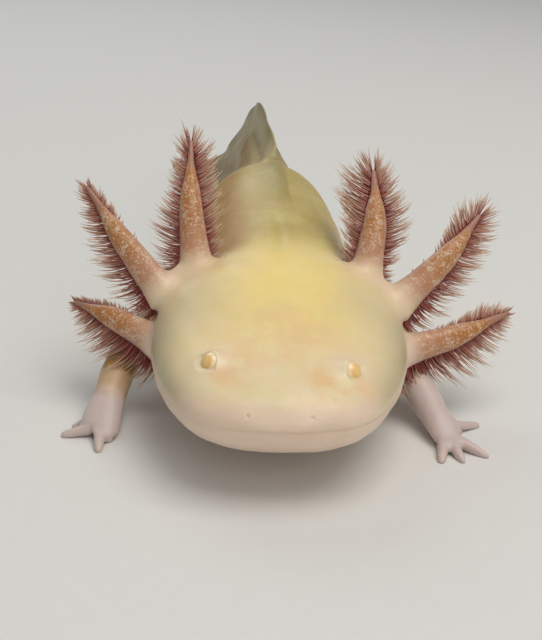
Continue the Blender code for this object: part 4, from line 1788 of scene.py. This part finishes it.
    def paint(self) -> None:
        """Mark the skin for its finish: where it is gold, pink, pale, fin or stalk, and where painted shade
        darkens it.
        """
        lie = self.lie()
        stalk, out, edge = self.on_stalks(lie.places)
        arm = self.down_limbs(lie)
        down = arm - 0.2 * ((lie.x < 0) & (lie.y < 70))
        plain = arm < 0.05
        # Painted shade that darkens the body towards the tail, through the mustard and the fin colour.
        tail = 0.55 * rise_between(lie.y, 88, 130)
        back = rise_between(lie.level, -0.25, 0.7) * (1 - 0.4 * rise_between(np.abs(lie.across), 0.5, 1.0))
        marks = {
            "gold": lie.on_head * self.head.crown(lie) + (1 - lie.on_head) * back,
            "blush": np.clip(self.blush(lie), 0, 1),
            "peach": np.clip(self.head.peach(lie), 0, 1),
            "ochre_and_painted_shade": np.clip(self.ochre_and_painted_shade(lie, arm, down, tail), 0, 1),
            # Forearms and hands: pale, darkened as painted shade.
            "pale": rise_between(down, 0.60, 0.82),
            # Where the gold darkens to straw as painted shade, from the neck back.
            "trunk": rise_between(lie.y, 39, 54),
            "sage": self.head.sage(lie),
            "bloom": np.clip(self.head.bloom(lie), 0, 1),
            "fin": np.clip(np.maximum(self.on_fins(lie, plain, stalk), tail * plain), 0, 1),
            "stalk": stalk,
            "margin": 0.8 * edge,
            "stalk_out": out,
            "fleck": rise_between(out, 0.04, 0.16) * rise_between(out, 0.92, 0.76),
            "fold": np.clip(self.head.fold(lie), 0, 1),
        }
        for name, values in marks.items():
            mark(self.piece, name, values)

    def dress(self, place: Place, finish: bpy.types.Material) -> bpy.types.Object:
        """Give the skin its finish and put it in place over all the flesh.

        Args:
            place: where the animal's frame lies.
            finish: the skin's material.

        Returns:
            The finished piece.
        """
        self.piece.data.materials.clear()
        self.piece.data.materials.append(finish)
        deselect()
        self.piece.select_set(True)
        bpy.ops.object.shade_smooth()
        place.put(self.piece)
        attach(self.piece, "root")
        flesh = [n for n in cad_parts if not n.startswith(("eye_", "gill_fringe_"))]
        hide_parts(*flesh)
        return self.piece


@dataclass(frozen=True)
class Eye:
    """A lidless eye with a rim of skin round it, which looks out, up and forwards."""

    side: Side
    head: Head
    cornea: float = 0.06

    def build(self, place: Place, finish: bpy.types.Material) -> bpy.types.Object:
        """Make the eye with its rings of points round the pupil.

        Args:
            place: where the animal's frame lies.
            finish: the eye's material.

        Returns:
            The finished piece.
        """
        radius, middle, gaze = self.head.eye_radius, self.head.eye(self.side), self.head.gaze(self.side)
        level = unit(np.cross(gaze, UP))
        upright = np.cross(level, gaze)

        def surface(along: np.ndarray, turn: np.ndarray) -> np.ndarray:
            """Place on the eye, which bulges a little in front.

            Args:
                along: share of the way from its front to its back.
                turn: angle round where it looks.

            Returns:
                The places in space.
            """
            angle = along * np.pi
            bulge = radius * (1 + self.cornea * bell(angle, 0.6))
            side = (bulge * np.sin(angle))[:, None]
            return (middle + (bulge * np.cos(angle))[:, None] * gaze
                    + side * (np.cos(turn)[:, None] * level + np.sin(turn)[:, None] * upright))

        piece = wrapped(f"eye_ball_{self.side.label}", 48, 40, surface)
        bpy.ops.object.shade_smooth()
        mark(piece, "out", self.head.from_gaze(read_places(piece), self.side))
        piece.data.materials.append(finish)
        place.put(piece)
        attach(piece, "root")
        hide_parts(f"eye_{self.side.label}")
        return piece


# ---------------------------------------------------------------- the studio
@dataclass(frozen=True)
class Lamp:
    """A soft square light: its place in the animal's frame, its side in metres, its power in watts."""

    name: str
    at: Point
    size: float
    power: float
    colour: Point

    def hang(self, place: Place) -> None:
        """Hang the light so that it faces the animal.

        Args:
            place: where the animal's frame lies.
        """
        data = bpy.data.lights.new(self.name, "AREA")
        data.size = self.size
        data.energy = self.power
        data.color = self.colour
        lamp = bpy.data.objects.new(self.name, data)
        bpy.context.scene.collection.objects.link(lamp)
        lamp.location = place.point(*self.at)
        aim = place.point(0, 60, 15) - lamp.location
        lamp.rotation_euler = aim.to_track_quat("-Z", "Y").to_euler()


@dataclass(frozen=True)
class Studio:
    """Pale floor, soft light and the camera, a little above the animal's head.

    The camera's angles are in degrees, its places in millimetres.
    """

    place: Place
    distance: float = 185.0
    stand_back_from: float = 22.0
    height: float = 98.1
    across: float = -3.41
    tilt: float = 21.98
    roll: float = 1.77
    swing: float = 0.54
    lens: float = 67.5
    floor_size: float = 6.0
    sky_colour: Point = (0.95, 0.97, 1.0)
    sky_strength: float = 0.26
    lamps: tuple[Lamp, ...] = (
        Lamp("key_light", (220, -60, 800), 0.60, 4.0, (1.0, 0.97, 0.92)),
        Lamp("front_light", (160, -420, 260), 0.40, 0.55, (1.0, 0.98, 0.96)),
        Lamp("back_light", (-260, 600, 500), 0.50, 1.1, (0.95, 0.98, 1.0)))

    def floor(self, finish: bpy.types.Material) -> None:
        """Lay the floor.

        Args:
            finish: the floor's material.
        """
        deselect()
        bpy.ops.mesh.primitive_plane_add(size=self.floor_size, location=(0, 0, 0))
        floor = bpy.context.object
        floor.name = "studio_floor"
        floor.data.materials.append(finish)

    def sky(self) -> None:
        """Even light from all round."""
        world = bpy.data.worlds.new("studio_sky")
        world.use_nodes = True
        background = world.node_tree.nodes["Background"]
        background.inputs["Color"].default_value = (*self.sky_colour, 1)
        background.inputs["Strength"].default_value = self.sky_strength
        bpy.context.scene.world = world

    def camera(self) -> None:
        """Look down at the animal's face from in front."""
        tilt, roll, swing = np.radians((self.tilt, self.roll, self.swing))
        right = np.array((np.cos(swing), -np.sin(swing), 0))
        front = np.array((np.sin(swing), np.cos(swing), 0))
        view = front * np.cos(tilt) - UP * np.sin(tilt)
        down = -UP * np.cos(tilt) - front * np.sin(tilt)
        level = right * np.cos(roll) - down * np.sin(roll)
        lower = right * np.sin(roll) + down * np.cos(roll)
        data = bpy.data.cameras.new("camera")
        data.sensor_width = 36
        data.lens = self.lens
        data.clip_start = 0.01
        camera = bpy.data.objects.new("camera", data)
        bpy.context.scene.collection.objects.link(camera)
        camera.matrix_world = Matrix((level, -lower, -view)).transposed().to_4x4()
        camera.location = self.place.point(self.across, self.stand_back_from - self.distance, self.height)
        bpy.context.scene.camera = camera

    def build(self) -> None:
        """Set everything up."""
        self.floor(FloorFinish().make())
        self.sky()
        for lamp in self.lamps:
            lamp.hang(self.place)
        self.camera()
        bpy.context.scene.view_settings.view_transform = "Standard"


# ---------------------------------------------------------------- the animal
def fins() -> list[Fin]:
    """The long fin over the back and tail, and the one under the tail, which end at the tail's tip.

    Returns:
        The two fins.
    """
    end = 197.4
    back = Profile(((84, 0.3), (90, 1.4), (96, 3.4), (102, 4.8), (108, 5.7), (118, 7), (128, 7.6), (140, 7.1),
                    (150, 5.8), (161, 4.4), (170, 3.2), (180, 2), (190, 1.2), (198, 0.5)))
    under = Profile(((112, 0.6), (122, 1.6), (135, 3.6), (147, 4.8), (161, 5), (170, 5), (182, 4.4),
                     (190, 2.4), (198, 0.6)))
    lean = Profile(((84, 76), (91, 64), (96, 38), (102, 24), (108, 16), (120, 5), (135, 0), (198, 0)))
    return [Fin("back_fin_volume", 84, end, back, 1, lean),
            Fin("tail_fin_volume", 112, end, under, -1)]


def limbs(plan: BodyPlan) -> list[Limb]:
    """Both arms and both legs.

    Args:
        plan: the body that carries them.

    Returns:
        The four limbs.
    """
    arm_radius = Profile(((0, 5), (0.25, 4.2), (0.5, 3.3), (0.75, 3), (0.9, 2.8), (1, 2.6)))
    leg_radius = Profile(((0, 6), (0.3, 4.8), (0.55, 3.5), (0.8, 2.8), (1, 2.3)))
    left = Route(((9, 57, 16), (14.5, 53, 14.2), (20, 48.5, 11.6), (23.2, 42.4, 9), (25, 36, 6.9),
                  (26.8, 31.2, 4.7), (28.4, 27.4, 3)))
    right = Route(((-11.5, 57, 16), (-16.5, 53, 14.2), (-22.6, 48.5, 12), (-26.8, 43, 9.4),
                   (-28.8, 36.8, 7.2), (-29.8, 31.6, 4.9), (-30.4, 27.8, 3.2)))
    broad_palm = Profile(((0, 2.8), (0.3, 3.2), (0.55, 3.5), (0.75, 3.55), (0.92, 2.7), (1, 1.5)))
    made = [Limb("arm_left", left, arm_radius, (30.1, 23.8),
                 ((27.9, 16.8), (31.9, 17.1), (36.5, 19.2), (36.7, 31.4))),
            Limb("arm_right", right, arm_radius, (-31.1, 23.6),
                 ((-28.8, 21.2), (-30.4, 17.4), (-37.6, 23), (-36.2, 26.2)), palm_width=broad_palm)]
    leg = ((6.2, 105, 15.5), (10.8, 103.2, 13.8), (13.7, 103.6, 10.8), (14.5, 106.2, 7.2), (14.3, 109.5, 4.2),
           (14.4, 111.6, 2.8))
    palm = (15.0, 114.6)
    toes = ((-25, 4.4), (3, 5.6), (28, 6.2), (54, 6), (80, 5))
    hip = float(plan.sway(palm[1]))
    for side in Side:
        route = Route(tuple((side.value * x + float(plan.sway(y)), y, z) for x, y, z in leg))
        tips = tuple((side.value * (palm[0] + length * np.cos(np.radians(turn))) + hip,
                      palm[1] + length * np.sin(np.radians(turn))) for turn, length in toes)
        foot = (side.value * palm[0] + hip, palm[1])
        made.append(Limb(f"leg_{side.label}", route, leg_radius, foot, tips))
    return made


def gills() -> list[Gill]:
    """The three gills on each side.

    Returns:
        The six gills.
    """
    return [
        Gill(Side.LEFT, "upper", bare=0.15, crimson=0.35, seed=11,
             route=Route(((15, 40.8, 23.3), (17, 47, 33.2), (17, 56, 40.6))),
             above=Profile(((0, 3), (0.25, 4.4), (0.45, 5.8), (0.6, 7.4), (0.8, 7), (1, 6.2))),
             below=Profile(((0, 3), (0.25, 3.8), (0.4, 5.8), (0.55, 5.6), (0.75, 4.8), (1, 5.6)))),
        Gill(Side.LEFT, "middle", bare=0.6, crimson=0.9, seed=12,
             route=Route(((19.6, 37.6, 19.6), (29.9, 43, 28), (36.8, 50.5, 34.2))),
             above=Profile(((0, 0.8), (0.45, 1.2), (0.65, 3.2), (0.85, 5.4), (1, 5.4))),
             below=Profile(((0, 5.6), (0.2, 6.4), (0.45, 5.4), (0.8, 5.4), (1, 5)))),
        Gill(Side.LEFT, "lower", bare=0.5, crimson=1.0, seed=13,
             route=Route(((20.2, 33.4, 13), (31.7, 37.5, 15), (42.6, 43.5, 17.6))),
             above=Profile(((0, 0.8), (0.5, 1.4), (0.75, 3.2), (1, 1.6))),
             below=Profile(((0, 7), (0.3, 7.2), (0.65, 5.6), (1, 1.5)))),
        Gill(Side.RIGHT, "upper", bare=0.2, crimson=0.6, seed=14,
             route=Route(((-15, 40.8, 23.3), (-16.6, 47, 35), (-17.3, 57.5, 45))),
             above=Profile(((0, 3), (0.3, 3.8), (0.55, 4.8), (0.8, 5.4), (1, 4.6))),
             below=Profile(((0, 5), (0.25, 6.4), (0.42, 5.2), (0.58, 3.6), (0.8, 3.8), (1, 4.6)))),
        Gill(Side.RIGHT, "middle", bare=0.75, crimson=1.0, seed=15,
             route=Route(((-19.6, 37.6, 20), (-28.3, 42.5, 29.4), (-36, 50.5, 37.4))),
             above=Profile(((0, 0.8), (0.5, 1.2), (0.85, 2), (1, 2.6))),
             below=Profile(((0, 6.2), (0.3, 6), (0.7, 4.2), (1, 2.8)))),
        Gill(Side.RIGHT, "lower", bare=0.6, crimson=1.0, seed=16,
             route=Route(((-20.2, 33.4, 13.4), (-29.6, 37.5, 16.6), (-38, 43.5, 17.4))),
             above=Profile(((0, 0.8), (0.6, 1.4), (1, 1.4))),
             below=Profile(((0, 7), (0.35, 6.8), (0.7, 4.6), (1, 1.3)))),
    ]


def main() -> None:
    """Build the animal and its studio, and report each piece."""
    logging.basicConfig(level=logging.INFO, format="%(name)s: %(message)s")
    place = Place.from_frame()
    plan, head = BodyPlan(), Head()
    studio = Studio(place)
    studio.build()
    skin = Skin(plan, head, fins(), limbs(plan), gills())
    skin.build()
    skin.dress(place, SkinFinish().make())
    LOG.info("%s: %d faces", skin.piece.name, len(skin.piece.data.polygons))
    strands = FilamentFinish().make()
    for gill in skin.gills:
        piece = gill.filaments(place, strands)
        LOG.info("%s: %d faces", piece.name, len(piece.data.polygons))
    wet = EyeFinish().make()
    for side in Side:
        piece = Eye(side, head).build(place, wet)
        LOG.info("%s: %d faces", piece.name, len(piece.data.polygons))


if __name__ == "__main__":
    main()
